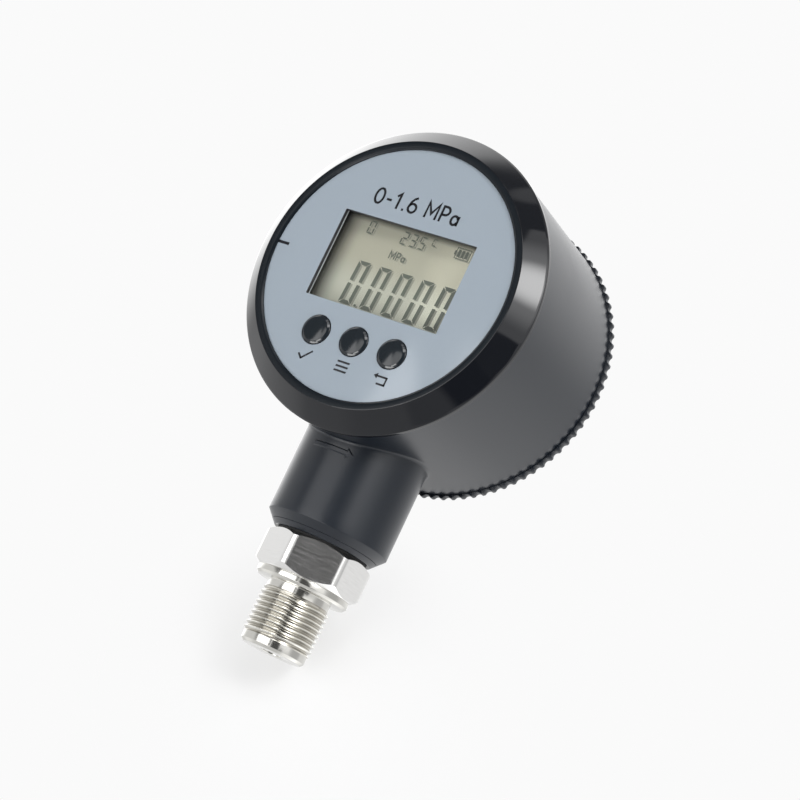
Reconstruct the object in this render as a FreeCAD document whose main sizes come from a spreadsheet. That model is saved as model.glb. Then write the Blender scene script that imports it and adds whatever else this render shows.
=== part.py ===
import FreeCAD, Part
import math
import os
import re
import Sketcher

# Digital pressure gauge with a screw-off battery cover.
# +Z runs up the stem, the dial faces -Y, and the origin lies on the stem's axis
# at the mouth of the pressure port, in the plane of the stem's lower end.

doc = FreeCAD.newDocument("pressure_gauge")

# Driving dimensions in millimetres, angles in degrees.
SIZES = {
    # Steel stem
    "thread_diameter": 20.0,
    "thread_length": 13.5,
    "relief_diameter": 18.2,
    "relief_length": 2.1,
    "pilot_diameter": 18.6,
    "pilot_length": 2.8,
    "pilot_chamfer": 0.8,
    "collar_diameter": 26.8,
    "collar_height": 2.2,
    "collar_chamfer": 0.7,
    "hex_across_flats": 27.0,
    "hex_height": 11.0,
    "hex_end_inset": 0.3,
    "hex_turn": 1.0,
    "port_diameter": 6.0,
    "spigot_diameter": 24.0,
    "spigot_length": 16.0,
    "neck_seal_thickness": 0.5,
    # Pressure sensor in the top of the stem
    "sensor_diameter": 19.0,
    "sensor_height": 6.5,
    "sensor_step": 3.0,
    "sensor_seal_thickness": 1.5,
    "sensor_seal_width": 2.0,
    "retainer_height": 4.0,
    "retainer_width": 3.0,
    # Dial, bezel and panel
    "dial_opening": 73.9,
    "lip_width": 2.25,
    "lip_rise": 0.4,
    "lip_dip": 0.1,
    "cone_width": 5.45,
    "bezel_depth": 6.0,
    "bezel_rim": 1.2,
    "bezel_edge": 0.45,
    "bezel_overhang": 0.35,
    "skirt_length": 5.0,
    "skirt_wall": 1.7,
    "panel_recess": 0.4,
    "panel_thickness": 1.4,
    "bezel_seal_inset": 0.5,
    "bezel_seal_width": 1.2,
    "bezel_seal_depth": 0.8,
    # Window and display
    "window_width": 43.2,
    "window_height": 26.0,
    "window_shift": 0.3,
    "window_raise": 1.4,
    "lens_margin_side": 2.2,
    "lens_margin_end": 1.9,
    "lens_thickness": 1.4,
    "display_thickness": 2.2,
    "display_ledge": 1.2,
    "frame_wall": 1.2,
    "frame_rim": 2.6,
    # Buttons and switches
    "button_diameter": 8.6,
    "button_pitch": 12.55,
    "button_shift": -0.3,
    "button_rise": 0.7,
    "button_round": 0.9,
    "button_flange": 0.9,
    "button_flange_thickness": 1.0,
    "button_stem_diameter": 4.0,
    "button_stem_length": 1.3,
    "button_frame_gap": 0.5,
    "button_travel": 0.4,
    "plunger_diameter": 3.4,
    "plunger_rise": 0.8,
    "plunger_depth": 1.2,
    "switch_width": 6.2,
    "switch_height": 3.0,
    # Barrel and neck
    "barrel_wall": 2.6,
    "barrel_draft": 1.5,
    "neck_diameter": 35.2,
    "neck_drop": 26.2,
    "neck_chamfer_width": 3.3,
    "neck_chamfer_height": 3.6,
    "neck_setback": 1.0,
    "neck_blend": 0.8,
    "spigot_headroom": 1.0,
    "lead_hole_diameter": 14.0,
    "ledge_depth": 14.0,
    "ledge_width": 8.5,
    "ledge_thickness": 2.0,
    # Circuit board and its screws
    "board_thickness": 1.6,
    "board_clearance": 0.4,
    "board_screw_inset": 3.3,
    "boss_diameter": 6.0,
    "screw_diameter": 2.0,
    "screw_head_diameter": 3.6,
    "screw_head_height": 1.3,
    "screw_grip": 6.0,
    "chip_width": 10.0,
    "chip_height": 1.2,
    "chip_drop": 8.0,
    "radio_width": 18.0,
    "radio_length": 12.0,
    "radio_height": 2.6,
    "radio_raise": 12.0,
    "antenna_width": 14.0,
    "antenna_length": 4.0,
    "antenna_height": 1.6,
    "antenna_gap": 4.0,
    # Battery and its holder
    "battery_diameter": 26.2,
    "battery_length": 48.5,
    "battery_nub_diameter": 6.0,
    "battery_nub_length": 1.5,
    "battery_gap": 0.3,
    "holder_thickness": 2.0,
    "holder_overlap": 3.2,
    "holder_screw_inset": 1.6,
    "holder_wall": 2.0,
    "holder_wall_width": 22.0,
    "holder_wall_height": 16.0,
    "holder_port": 12.0,
    "contact_width": 10.0,
    "contact_thickness": 0.5,
    "rear_room": 4.8,
    # Rear cover
    "cover_gap": 0.25,
    "cover_thickness": 2.0,
    "cover_overhang": 1.0,
    "cover_spigot_length": 6.0,
    "cover_spigot_wall": 2.0,
    "cover_clearance": 0.1,
    "cover_raise": 1.2,
    "cover_raise_inset": 6.5,
    "cover_seal_section": 1.3,
    "cover_seal_setback": 2.2,
    "flute_count": 88,
    "flute_radius": 1.3,
    "flute_depth": 0.7,
    # Clearances shared by all fits
    "fit": 0.1,
}

# Sizes worked out from the driving dimensions.
FORMS = {
    # Heights above the stem's lower end
    "thread_lead": "(thread_diameter - pilot_diameter) / 2",
    "thread_runout": "(thread_diameter - relief_diameter) / 2",
    "thread_top": "pilot_length + thread_length",
    "collar_bottom": "thread_top + relief_length",
    "collar_top": "collar_bottom + collar_height",
    "hex_top": "collar_top + hex_height",
    "hex_corner": "hex_across_flats / sqrt(3)",
    "hex_end": "hex_across_flats / 2 - hex_end_inset",
    "hex_bevel": "hex_corner - hex_end",
    "hex_cutter": "2 * hex_corner",
    "neck_bottom": "hex_top + neck_seal_thickness",
    "spigot_top": "hex_top + spigot_length",
    "spigot_bore": "spigot_diameter / 2 + fit",
    "cavity_radius": "sensor_diameter / 2 + fit",
    "cavity_floor": "spigot_top - sensor_seal_thickness - sensor_height - retainer_height",
    "sensor_bottom": "cavity_floor + sensor_seal_thickness",
    "dial_height": "neck_bottom + neck_drop + barrel_front",
    # Heights from the dial's centre, for what is moulded on the case
    "neck_low": "neck_bottom - dial_height",
    "neck_root": "-rear_bore / 2",
    "spigot_roof": "spigot_top + spigot_headroom - dial_height",
    # Radii about the dial's axis
    "lip_radius": "dial_opening / 2",
    "ridge_radius": "lip_radius + lip_width",
    "bezel_radius": "ridge_radius + cone_width",
    "barrel_front": "bezel_radius - bezel_overhang",
    "barrel_rear": "barrel_front - barrel_draft",
    "front_bore": "barrel_front - barrel_wall",
    "rear_bore": "barrel_rear - barrel_wall",
    "skirt_outer": "front_bore - fit",
    "skirt_inner": "skirt_outer - skirt_wall",
    "panel_radius": "skirt_inner - fit",
    "bezel_seal_inner": "front_bore + bezel_seal_inset",
    "bezel_seal_outer": "bezel_seal_inner + bezel_seal_width",
    "ledge_inner": "front_bore - ledge_width",
    "board_radius": "skirt_inner - board_clearance",
    "board_screw_circle": "board_radius - board_screw_inset",
    "holder_radius": "ledge_inner + holder_overlap",
    "holder_screw_circle": "ledge_inner + holder_screw_inset",
    # Depths behind the plane of the bezel's lip
    "panel_rear": "panel_recess + panel_thickness",
    "display_front": "panel_rear + lens_thickness",
    "display_rear": "display_front + display_thickness",
    "button_flange_front": "panel_rear + fit",
    "button_flange_rear": "button_flange_front + button_flange_thickness",
    "plunger_top": "button_flange_rear + button_stem_length",
    "switch_front": "plunger_top + plunger_rise",
    "board_front": "switch_front + switch_height",
    "board_rear": "board_front + board_thickness",
    "ledge_front": "bezel_depth + ledge_depth",
    "ledge_rear": "ledge_front + ledge_thickness",
    "holder_rear": "ledge_rear + holder_thickness",
    "battery_axis": "holder_rear + battery_gap + battery_diameter / 2",
    "cover_front": "battery_axis + battery_diameter / 2 + rear_room",
    "barrel_end": "cover_front - cover_gap",
    "cover_rear": "cover_front + cover_thickness",
    "stem_depth": "bezel_depth + skirt_length + neck_setback + neck_diameter / 2",
    # Window, lens and display frame
    "lens_width": "window_width + 2 * lens_margin_side",
    "lens_height": "window_height + 2 * lens_margin_end",
    "frame_inner_width": "lens_width + 2 * fit",
    "frame_inner_height": "lens_height + 2 * fit",
    "frame_width": "frame_inner_width + 2 * frame_wall",
    "frame_height": "frame_inner_height + 2 * frame_wall",
    # Buttons
    "button_radius": "button_diameter / 2",
    "button_flange_radius": "button_radius + button_flange",
    "button_row": "window_raise - frame_height / 2 - button_frame_gap - button_flange_radius",
    # Rear cover
    "cover_spigot": "rear_bore - cover_clearance",
    "cover_spigot_inner": "cover_spigot - cover_spigot_wall",
    "cover_spigot_end": "cover_front - cover_spigot_length",
    "cover_groove": "rear_bore - cover_seal_section - 2 * fit",
    "cover_seal_centre": "cover_front - cover_seal_setback",
    "cover_groove_half": "cover_seal_section / 2 + fit",
    "flute_tip": "barrel_rear + cover_overhang",
    "flute_centre": "flute_tip - flute_depth + flute_radius",
    "cover_raise_radius": "flute_tip - cover_raise_inset",
    "cover_raise_foot": "cover_raise_radius + cover_raise",
}

sizes = doc.addObject("Spreadsheet::Sheet", "sizes")
for row, (alias, number) in enumerate(SIZES.items(), start=1):
    sizes.set(f"A{row}", alias)
    sizes.set(f"B{row}", str(number))
    sizes.setAlias(f"B{row}", alias)
doc.recompute()


def bound(text):
    """Writes an expression's words as references to the sheet's cells."""
    def reference(word):
        name = word.group(0)
        if name in FORMS:
            return f"({bound(FORMS[name])})"
        if name in SIZES:
            return f"sizes.{name}"
        return name
    return re.sub(r"[a-z_]+", reference, text)


def value(text):
    return float(sizes.evalExpression(bound(text)))


def bind(feature, prop, text):
    feature.setExpression(prop, bound(text))


def place(feature, spot):
    for axis, text in zip("xyz", spot):
        bind(feature, f"Placement.Base.{axis}", text)


# Bodies of the stem stand in the part's own frame; bodies of the head stand at the dial's centre.
STEM = ("0", "0", "0")
DIAL = ("0", "-stem_depth", "dial_height")

nodes = []


def new_body(name, spot):
    body = doc.addObject("PartDesign::Body", name)
    body.Label = name
    place(body, spot)
    nodes.append(body)
    return body


def datum(body, role):
    for feature in body.Origin.OriginFeatures:
        if feature.Role == role:
            return feature
    raise ValueError(role)


def new_sketch(body, name, role, offset="0"):
    """A sketch on one of the body's own planes, moved along the plane's normal by offset."""
    sketch = body.newObject("Sketcher::SketchObject", name)
    sketch.AttachmentSupport = [(datum(body, role), "")]
    sketch.MapMode = "FlatFace"
    if offset != "0":
        bind(sketch, "AttachmentOffset.Base.z", offset)
    return sketch


def pin_point(sketch, curve, end, x_text, y_text):
    """Holds one point of a curve at the given distances from the sketch's origin."""
    for kind, axis, text in (("DistanceX", -2, x_text), ("DistanceY", -1, y_text)):
        if text == "0":
            sketch.addConstraint(Sketcher.Constraint("PointOnObject", curve, end, axis))
        else:
            rule = Sketcher.Constraint(kind, -1, 1, curve, end, value(text))
            bind(sketch, f"Constraints[{sketch.addConstraint(rule)}]", text)


def outline(sketch, corners):
    """A closed outline of straight sides through corners given as pairs of expressions."""
    points = [FreeCAD.Vector(value(x_text), value(y_text), 0) for x_text, y_text in corners]
    following = points[1:] + points[:1]
    sides = [sketch.addGeometry(Part.LineSegment(a, b)) for a, b in zip(points, following)]
    for side, following_side in zip(sides, sides[1:] + sides[:1]):
        sketch.addConstraint(Sketcher.Constraint("Coincident", side, 2, following_side, 1))
    for side, (x_text, y_text) in zip(sides, corners):
        pin_point(sketch, side, 1, x_text, y_text)


def box_outline(sketch, x_text, y_text, width, height):
    left, right = f"{x_text} - {width} / 2", f"{x_text} + {width} / 2"
    low, high = f"{y_text} - {height} / 2", f"{y_text} + {height} / 2"
    outline(sketch, [(left, low), (right, low), (right, high), (left, high)])


def circle(sketch, radius, x_text="0", y_text="0"):
    centre = FreeCAD.Vector(value(x_text), value(y_text), 0)
    curve = sketch.addGeometry(Part.Circle(centre, FreeCAD.Vector(0, 0, 1), value(radius)))
    rule = sketch.addConstraint(Sketcher.Constraint("Radius", curve, value(radius)))
    bind(sketch, f"Constraints[{rule}]", radius)
    pin_point(sketch, curve, 3, x_text, y_text)


def turned(body, name, corners, role, offset="0", kind="PartDesign::Revolution"):
    """Turns a half section round the sketch's upright axis, as a solid or as a cut."""
    sketch = new_sketch(body, f"{name}_section", role, offset)
    outline(sketch, corners)
    feature = body.newObject(kind, name)
    feature.Profile = sketch
    feature.ReferenceAxis = (sketch, ["V_Axis"])
    feature.Angle = 360
    return feature


def extruded(body, name, sketch, length, kind="PartDesign::Pad", reverse=False):
    feature = body.newObject(kind, name)
    feature.Profile = sketch
    bind(feature, "Length", length)
    feature.Reversed = reverse
    return feature


def repeated(body, name, feature, count, role):
    """Repeats a feature evenly round one of the body's axes."""
    pattern = body.newObject("PartDesign::PolarPattern", name)
    pattern.Originals = [feature]
    pattern.Axis = (datum(body, role), [""])
    pattern.Angle = 360
    bind(pattern, "Occurrences", count)
    body.Tip = pattern
    return pattern


NEAR = 0.01


def rounded(body, name, radius, wanted):
    """Rounds the edges of the body so far whose every sampled point passes the test."""
    doc.recompute()
    base = body.Tip
    names = []
    for number, edge in enumerate(base.Shape.Edges, start=1):
        points = edge.discretize(5)
        if all(wanted(point) for point in points):
            names.append(f"Edge{number}")
    fillet = body.newObject("PartDesign::Fillet", name)
    fillet.Base = (base, names)
    bind(fillet, "Radius", radius)
    return fillet


def ring_body(name, spot, role, inner, outer, low, high):
    """A plain ring of rectangular section."""
    body = new_body(name, spot)
    turned(body, f"{name}_ring", [(inner, low), (outer, low), (outer, high), (inner, high)], role)
    return body


def plate_body(name, spot, front, thickness, draw):
    """A plate behind the dial, from the depth front backwards, with the outline that draw makes."""
    body = new_body(name, spot)
    sketch = new_sketch(body, f"{name}_outline", "XZ_Plane", f"-({front})")
    draw(sketch)
    extruded(body, f"{name}_plate", sketch, thickness, reverse=True)
    return body


# Process connection: one turned bar with a milled hexagon, bored for the pressure port and the sensor.
process_connection = new_body("process_connection", STEM)
turned(process_connection, "stem_turning", [
    ("port_diameter / 2", "0"),
    ("pilot_diameter / 2 - pilot_chamfer", "0"),
    ("pilot_diameter / 2", "pilot_chamfer"),
    ("pilot_diameter / 2", "pilot_length"),
    ("thread_diameter / 2", "pilot_length + thread_lead"),
    ("thread_diameter / 2", "thread_top - thread_runout"),
    ("relief_diameter / 2", "thread_top"),
    ("relief_diameter / 2", "collar_bottom"),
    ("collar_diameter / 2 - collar_chamfer", "collar_bottom"),
    ("collar_diameter / 2", "collar_bottom + collar_chamfer"),
    ("collar_diameter / 2", "collar_top"),
    ("hex_end", "collar_top"),
    ("hex_corner", "collar_top + hex_bevel"),
    ("hex_corner", "hex_top - hex_bevel"),
    ("hex_end", "hex_top"),
    ("spigot_diameter / 2", "hex_top"),
    ("spigot_diameter / 2", "spigot_top"),
    ("cavity_radius", "spigot_top"),
    ("cavity_radius", "cavity_floor"),
    ("port_diameter / 2", "cavity_floor"),
], "XZ_Plane")
HEX_ANGLES = (30, 90, 150, 210, 270, 330)
flats = new_sketch(process_connection, "hex_flats_outline", "XY_Plane", "hex_top")
circle(flats, "hex_cutter")
outline(flats, [
    (f"hex_corner * cos(hex_turn + {angle})", f"hex_corner * sin(hex_turn + {angle})")
    for angle in HEX_ANGLES
])
extruded(process_connection, "hex_flats", flats, "hex_height", "PartDesign::Pocket")

# Neck seal: flat washer between the hexagon and the underside of the neck.
ring_body("neck_seal", STEM, "XZ_Plane", "spigot_bore", "hex_end", "hex_top", "neck_bottom")

# Pressure sensor: a washer, the stepped capsule and the ring that holds it down in the stem.
ring_body("sensor_seal", STEM, "XZ_Plane", "sensor_diameter / 2 - sensor_seal_width",
          "sensor_diameter / 2", "cavity_floor", "sensor_bottom")
sensor_capsule = new_body("sensor_capsule", STEM)
turned(sensor_capsule, "capsule_turning", [
    ("0", "sensor_bottom"),
    ("sensor_diameter / 2", "sensor_bottom"),
    ("sensor_diameter / 2", "sensor_bottom + sensor_height"),
    ("sensor_diameter / 2 - retainer_width - fit", "sensor_bottom + sensor_height"),
    ("sensor_diameter / 2 - retainer_width - fit", "sensor_bottom + sensor_height + sensor_step"),
    ("0", "sensor_bottom + sensor_height + sensor_step"),
], "XZ_Plane")
ring_body("sensor_retainer", STEM, "XZ_Plane", "sensor_diameter / 2 - retainer_width",
          "cavity_radius", "sensor_bottom + sensor_height", "spigot_top")

# Where the screws stand round the dial's axis: the board's on the diagonals, the holder's on the axes.
DIAGONAL = "board_screw_circle * cos(45)"
BOARD_SCREW_SPOTS = [
    (DIAGONAL, DIAGONAL),
    (f"-{DIAGONAL}", DIAGONAL),
    (f"-{DIAGONAL}", f"-{DIAGONAL}"),
    (DIAGONAL, f"-{DIAGONAL}"),
]
HOLDER_SCREW_SPOTS = [
    ("holder_screw_circle", "0"),
    ("0", "holder_screw_circle"),
    ("-holder_screw_circle", "0"),
    ("0", "-holder_screw_circle"),
]

# Case body: tapered barrel and round neck moulded in one, hollowed from both ends,
# with a ledge inside that carries the board on four bosses and the battery holder.
case_body = new_body("case_body", DIAL)
turned(case_body, "barrel", [
    ("0", "bezel_depth"),
    ("barrel_front", "bezel_depth"),
    ("barrel_rear", "barrel_end"),
    ("0", "barrel_end"),
], "XY_Plane")
turned(case_body, "neck", [
    ("0", "neck_low"),
    ("neck_diameter / 2 - neck_chamfer_width", "neck_low"),
    ("neck_diameter / 2", "neck_low + neck_chamfer_height"),
    ("neck_diameter / 2", "neck_root"),
    ("0", "neck_root"),
], "XZ_Plane", "-stem_depth")


def on_neck_crease(point):
    """True for points where the neck's wall meets the barrel's wall."""
    from_stem = math.hypot(point.x, point.y - value("stem_depth"))
    from_dial = math.hypot(point.x, point.z)
    taper = (point.y - value("bezel_depth")) / value("barrel_end - bezel_depth")
    barrel_here = value("barrel_front") - value("barrel_draft") * taper
    return abs(from_stem - value("neck_diameter / 2")) < NEAR and abs(from_dial - barrel_here) < NEAR


rounded(case_body, "neck_crease", "neck_blend", on_neck_crease)
turned(case_body, "hollow", [
    ("0", "bezel_depth"),
    ("front_bore", "bezel_depth"),
    ("front_bore", "ledge_front"),
    ("ledge_inner", "ledge_front"),
    ("ledge_inner", "ledge_rear"),
    ("rear_bore", "ledge_rear"),
    ("rear_bore", "barrel_end"),
    ("0", "barrel_end"),
], "XY_Plane", kind="PartDesign::Groove")
turned(case_body, "bezel_seal_groove", [
    ("bezel_seal_inner", "bezel_depth"),
    ("bezel_seal_outer", "bezel_depth"),
    ("bezel_seal_outer", "bezel_depth + bezel_seal_depth"),
    ("bezel_seal_inner", "bezel_depth + bezel_seal_depth"),
], "XY_Plane", kind="PartDesign::Groove")
turned(case_body, "neck_bore", [
    ("0", "neck_low"),
    ("spigot_bore", "neck_low"),
    ("spigot_bore", "spigot_roof"),
    ("lead_hole_diameter / 2", "spigot_roof"),
    ("lead_hole_diameter / 2", "neck_root"),
    ("0", "neck_root"),
], "XZ_Plane", "-stem_depth", kind="PartDesign::Groove")
boss_outline = new_sketch(case_body, "board_boss_outline", "XZ_Plane", "-board_rear")
for radius in ("boss_diameter / 2", "screw_diameter / 2"):
    circle(boss_outline, radius, *BOARD_SCREW_SPOTS[0])
board_boss = extruded(case_body, "board_boss", boss_outline, "ledge_front - board_rear", reverse=True)
repeated(case_body, "board_bosses", board_boss, str(len(BOARD_SCREW_SPOTS)), "Y_Axis")
hole_outline = new_sketch(case_body, "holder_hole_outline", "XZ_Plane", "-ledge_front")
circle(hole_outline, "screw_diameter / 2", *HOLDER_SCREW_SPOTS[0])
holder_hole = extruded(case_body, "holder_hole", hole_outline, "ledge_thickness", "PartDesign::Pocket")
repeated(case_body, "holder_holes", holder_hole, str(len(HOLDER_SCREW_SPOTS)), "Y_Axis")

# Front bezel: gloss ring with a flat lip, a raised ridge, a wide cone and a skirt inside the barrel.
front_bezel = new_body("front_bezel", DIAL)
turned(front_bezel, "bezel_turning", [
    ("lip_radius", "panel_recess"),
    ("lip_radius", "lip_dip"),
    ("ridge_radius", "-lip_rise"),
    ("bezel_radius - bezel_edge", "bezel_depth - bezel_rim - bezel_edge"),
    ("bezel_radius", "bezel_depth - bezel_rim"),
    ("bezel_radius", "bezel_depth"),
    ("skirt_outer", "bezel_depth"),
    ("skirt_outer", "bezel_depth + skirt_length"),
    ("skirt_inner", "bezel_depth + skirt_length"),
    ("skirt_inner", "panel_recess"),
], "XY_Plane")

# Bezel seal: flat ring in the groove of the barrel's front end.
ring_body("bezel_seal", DIAL, "XY_Plane", "bezel_seal_inner", "bezel_seal_outer",
          "bezel_depth", "bezel_depth + bezel_seal_depth")

# Face panel: round plate with the window and the three button holes.
BUTTONS = {
    "left": "button_shift - button_pitch",
    "middle": "button_shift",
    "right": "button_shift + button_pitch",
}


def draw_panel(sketch):
    circle(sketch, "panel_radius")
    box_outline(sketch, "window_shift", "window_raise", "window_width", "window_height")
    for across in BUTTONS.values():
        circle(sketch, "button_radius + fit", across, "button_row")


plate_body("face_panel", DIAL, "panel_recess", "panel_thickness", draw_panel)

# Window lens: clear plate against the back of the panel.
plate_body("window_lens", DIAL, "panel_rear", "lens_thickness",
           lambda sketch: box_outline(sketch, "window_shift", "window_raise", "lens_width", "lens_height"))

# Display cell: back glass of full size, and a front glass that leaves its contact ledge bare.
lcd_glass = plate_body("lcd_glass", DIAL, "display_front + display_thickness / 2", "display_thickness / 2",
                       lambda sketch: box_outline(sketch, "window_shift", "window_raise",
                                                  "lens_width", "lens_height"))
front_glass = new_sketch(lcd_glass, "front_glass_outline", "XZ_Plane", "-display_front")
box_outline(front_glass, "window_shift", "(window_raise + display_ledge / 2)",
            "lens_width", "(lens_height - display_ledge)")
extruded(lcd_glass, "front_glass", front_glass, "display_thickness / 2", reverse=True)

# Display frame: tray from the panel to the board, with a rim behind the display cell.


def draw_frame(sketch):
    box_outline(sketch, "window_shift", "window_raise", "frame_width", "frame_height")
    box_outline(sketch, "window_shift", "window_raise", "frame_inner_width", "frame_inner_height")


lcd_frame = plate_body("lcd_frame", DIAL, "panel_rear", "board_front - panel_rear", draw_frame)
rim_outline = new_sketch(lcd_frame, "frame_rim_outline", "XZ_Plane", "-display_rear")
box_outline(rim_outline, "window_shift", "window_raise", "frame_width", "frame_height")
box_outline(rim_outline, "window_shift", "window_raise", "(lens_width - 2 * frame_rim)",
            "(lens_height - 2 * frame_rim)")
extruded(lcd_frame, "frame_rim_plate", rim_outline, "board_front - display_rear", reverse=True)

# Buttons, with the plunger and the body of the switch that each one presses.


def on_button_edge(point):
    """True for points on the rim of a button's front face."""
    from_axis = math.hypot(point.x, point.z)
    from_front = point.y - value("panel_recess - button_rise")
    return abs(from_axis - value("button_radius")) < NEAR and abs(from_front) < NEAR


for side, across in BUTTONS.items():
    spot = (across, DIAL[1], "dial_height + button_row")
    button = new_body(f"{side}_button", spot)
    turned(button, f"{side}_button_turning", [
        ("0", "panel_recess - button_rise"),
        ("button_radius", "panel_recess - button_rise"),
        ("button_radius", "button_flange_front"),
        ("button_flange_radius", "button_flange_front"),
        ("button_flange_radius", "button_flange_rear"),
        ("button_stem_diameter / 2", "button_flange_rear"),
        ("button_stem_diameter / 2", "plunger_top"),
        ("0", "plunger_top"),
    ], "XY_Plane")
    rounded(button, f"{side}_button_round", "button_round", on_button_edge)
    plunger = new_body(f"{side}_plunger", spot)
    turned(plunger, f"{side}_plunger_turning", [
        ("0", "plunger_top"),
        ("plunger_diameter / 2", "plunger_top"),
        ("plunger_diameter / 2", "switch_front + plunger_depth"),
        ("0", "switch_front + plunger_depth"),
    ], "XY_Plane")
    switch = plate_body(f"{side}_switch", spot, "switch_front", "switch_height",
                        lambda sketch: box_outline(sketch, "0", "0", "switch_width", "switch_width"))
    well = new_sketch(switch, f"{side}_switch_well_outline", "XZ_Plane", "-switch_front")
    circle(well, "plunger_diameter / 2 + fit")
    extruded(switch, f"{side}_switch_well", well, "plunger_depth + button_travel + 2 * fit",
             "PartDesign::Pocket")

# Main board: round board with four screw holes.


def draw_board(sketch):
    circle(sketch, "board_radius")
    for across, up in BOARD_SCREW_SPOTS:
        circle(sketch, "screw_diameter / 2", across, up)


plate_body("main_board", DIAL, "board_front", "board_thickness", draw_board)

# Components on the back of the board.
plate_body("processor_chip", DIAL, "board_rear", "chip_height",
           lambda sketch: box_outline(sketch, "0", "-chip_drop", "chip_width", "chip_width"))
plate_body("radio_module", DIAL, "board_rear", "radio_height",
           lambda sketch: box_outline(sketch, "0", "radio_raise", "radio_width", "radio_length"))
ANTENNA_RAISE = "(radio_raise + radio_length / 2 + antenna_gap + antenna_length / 2)"
plate_body("antenna", DIAL, "board_rear", "antenna_height",
           lambda sketch: box_outline(sketch, "0", ANTENNA_RAISE, "antenna_width", "antenna_length"))


def screw(name, across, up, head_seat, toward, shank_length):
    """A pan head screw along the dial's axis whose head bears on the plane at depth head_seat."""
    body = doc.addObject("PartDesign::Body", name)
    place(body, (across, f"{head_seat} - stem_depth", f"dial_height + {up}"))
    turned(body, f"{name}_turning", [
        ("0", f"-{toward} * screw_head_height"),
        ("screw_head_diameter / 2", f"-{toward} * screw_head_height"),
        ("screw_head_diameter / 2", "0"),
        ("screw_diameter / 2", "0"),
        ("screw_diameter / 2", f"{toward} * ({shank_length})"),
        ("0", f"{toward} * ({shank_length})"),
    ], "XY_Plane")
    return body


def group(name, members):
    compound = doc.addObject("Part::Compound", name)
    compound.Label = name
    compound.Links = members
    nodes.append(compound)


# Screws: four hold the board on its bosses, four hold the battery holder on the ledge.
group("board_screws", [
    screw(f"board_screw_{number}", across, up, "board_front", "1", "board_thickness + screw_grip")
    for number, (across, up) in enumerate(BOARD_SCREW_SPOTS, start=1)
])
group("holder_screws", [
    screw(f"holder_screw_{number}", across, up, "holder_rear", "-1", "holder_thickness + ledge_thickness")
    for number, (across, up) in enumerate(HOLDER_SCREW_SPOTS, start=1)
])

# Battery holder: round plate on the back of the ledge with a wall at each end of the battery.


def draw_holder(sketch):
    circle(sketch, "holder_radius")
    circle(sketch, "holder_port / 2")
    for across, up in HOLDER_SCREW_SPOTS:
        circle(sketch, "screw_diameter / 2", across, up)


CONTACT_FACE = "(battery_length / 2 + battery_nub_length)"
WALL_CENTRE = f"({CONTACT_FACE} + contact_thickness + holder_wall / 2)"
battery_holder = plate_body("battery_holder", DIAL, "ledge_rear", "holder_thickness", draw_holder)
for side, sign in (("left", "-"), ("right", "")):
    wall = new_sketch(battery_holder, f"{side}_holder_wall_outline", "XZ_Plane", "-holder_rear")
    box_outline(wall, f"{sign}{WALL_CENTRE}", "0", "holder_wall", "holder_wall_width")
    extruded(battery_holder, f"{side}_holder_wall", wall, "holder_wall_height", reverse=True)

# Battery contacts: a thin plate on the inner face of each end wall.
contacts = []
for side, start in (("left", f"-{CONTACT_FACE} - contact_thickness"), ("right", CONTACT_FACE)):
    contact = doc.addObject("Part::Box", f"{side}_contact")
    bind(contact, "Length", "contact_thickness")
    bind(contact, "Width", "holder_wall_height")
    bind(contact, "Height", "contact_width")
    place(contact, (start, "holder_rear - stem_depth", "dial_height - contact_width / 2"))
    contacts.append(contact)
group("battery_contacts", contacts)

# Battery: cylindrical cell across the case, with a nub at each end that meets a contact.
battery = new_body("battery", ("0", "battery_axis - stem_depth", "dial_height"))
battery.Placement.Rotation = FreeCAD.Rotation(FreeCAD.Vector(0, 0, 1), -90)
turned(battery, "battery_turning", [
    ("0", f"-{CONTACT_FACE}"),
    ("battery_nub_diameter / 2", f"-{CONTACT_FACE}"),
    ("battery_nub_diameter / 2", "-battery_length / 2"),
    ("battery_diameter / 2", "-battery_length / 2"),
    ("battery_diameter / 2", "battery_length / 2"),
    ("battery_nub_diameter / 2", "battery_length / 2"),
    ("battery_nub_diameter / 2", CONTACT_FACE),
    ("0", CONTACT_FACE),
], "XY_Plane")

# Rear cover: screw cap with a spigot inside the barrel, a seal groove, and a fluted rim to grip.
rear_cover = new_body("rear_cover", DIAL)
turned(rear_cover, "cover_turning", [
    ("0", "cover_front"),
    ("cover_spigot_inner", "cover_front"),
    ("cover_spigot_inner", "cover_spigot_end"),
    ("cover_spigot", "cover_spigot_end"),
    ("cover_spigot", "cover_seal_centre - cover_groove_half"),
    ("cover_groove", "cover_seal_centre - cover_groove_half"),
    ("cover_groove", "cover_seal_centre + cover_groove_half"),
    ("cover_spigot", "cover_seal_centre + cover_groove_half"),
    ("cover_spigot", "cover_front"),
    ("flute_tip", "cover_front"),
    ("flute_tip", "cover_rear"),
    ("cover_raise_foot", "cover_rear"),
    ("cover_raise_radius", "cover_rear + cover_raise"),
    ("0", "cover_rear + cover_raise"),
], "XY_Plane")
flute_outline = new_sketch(rear_cover, "flute_outline", "XZ_Plane", "-cover_front")
circle(flute_outline, "flute_radius", "flute_centre")
flute = extruded(rear_cover, "flute", flute_outline, "cover_thickness", "PartDesign::Pocket")
repeated(rear_cover, "flutes", flute, "flute_count", "Y_Axis")

# Cover seal: round cord ring in the groove of the cover's spigot.
cover_seal = doc.addObject("Part::Torus", "cover_seal")
cover_seal.Label = "cover_seal"
bind(cover_seal, "Radius1", "cover_groove + fit + cover_seal_section / 2")
bind(cover_seal, "Radius2", "cover_seal_section / 2")
cover_seal.Placement.Rotation = FreeCAD.Rotation(FreeCAD.Vector(1, 0, 0), -90)
place(cover_seal, ("0", "cover_seal_centre - stem_depth", "dial_height"))
nodes.append(cover_seal)

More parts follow.
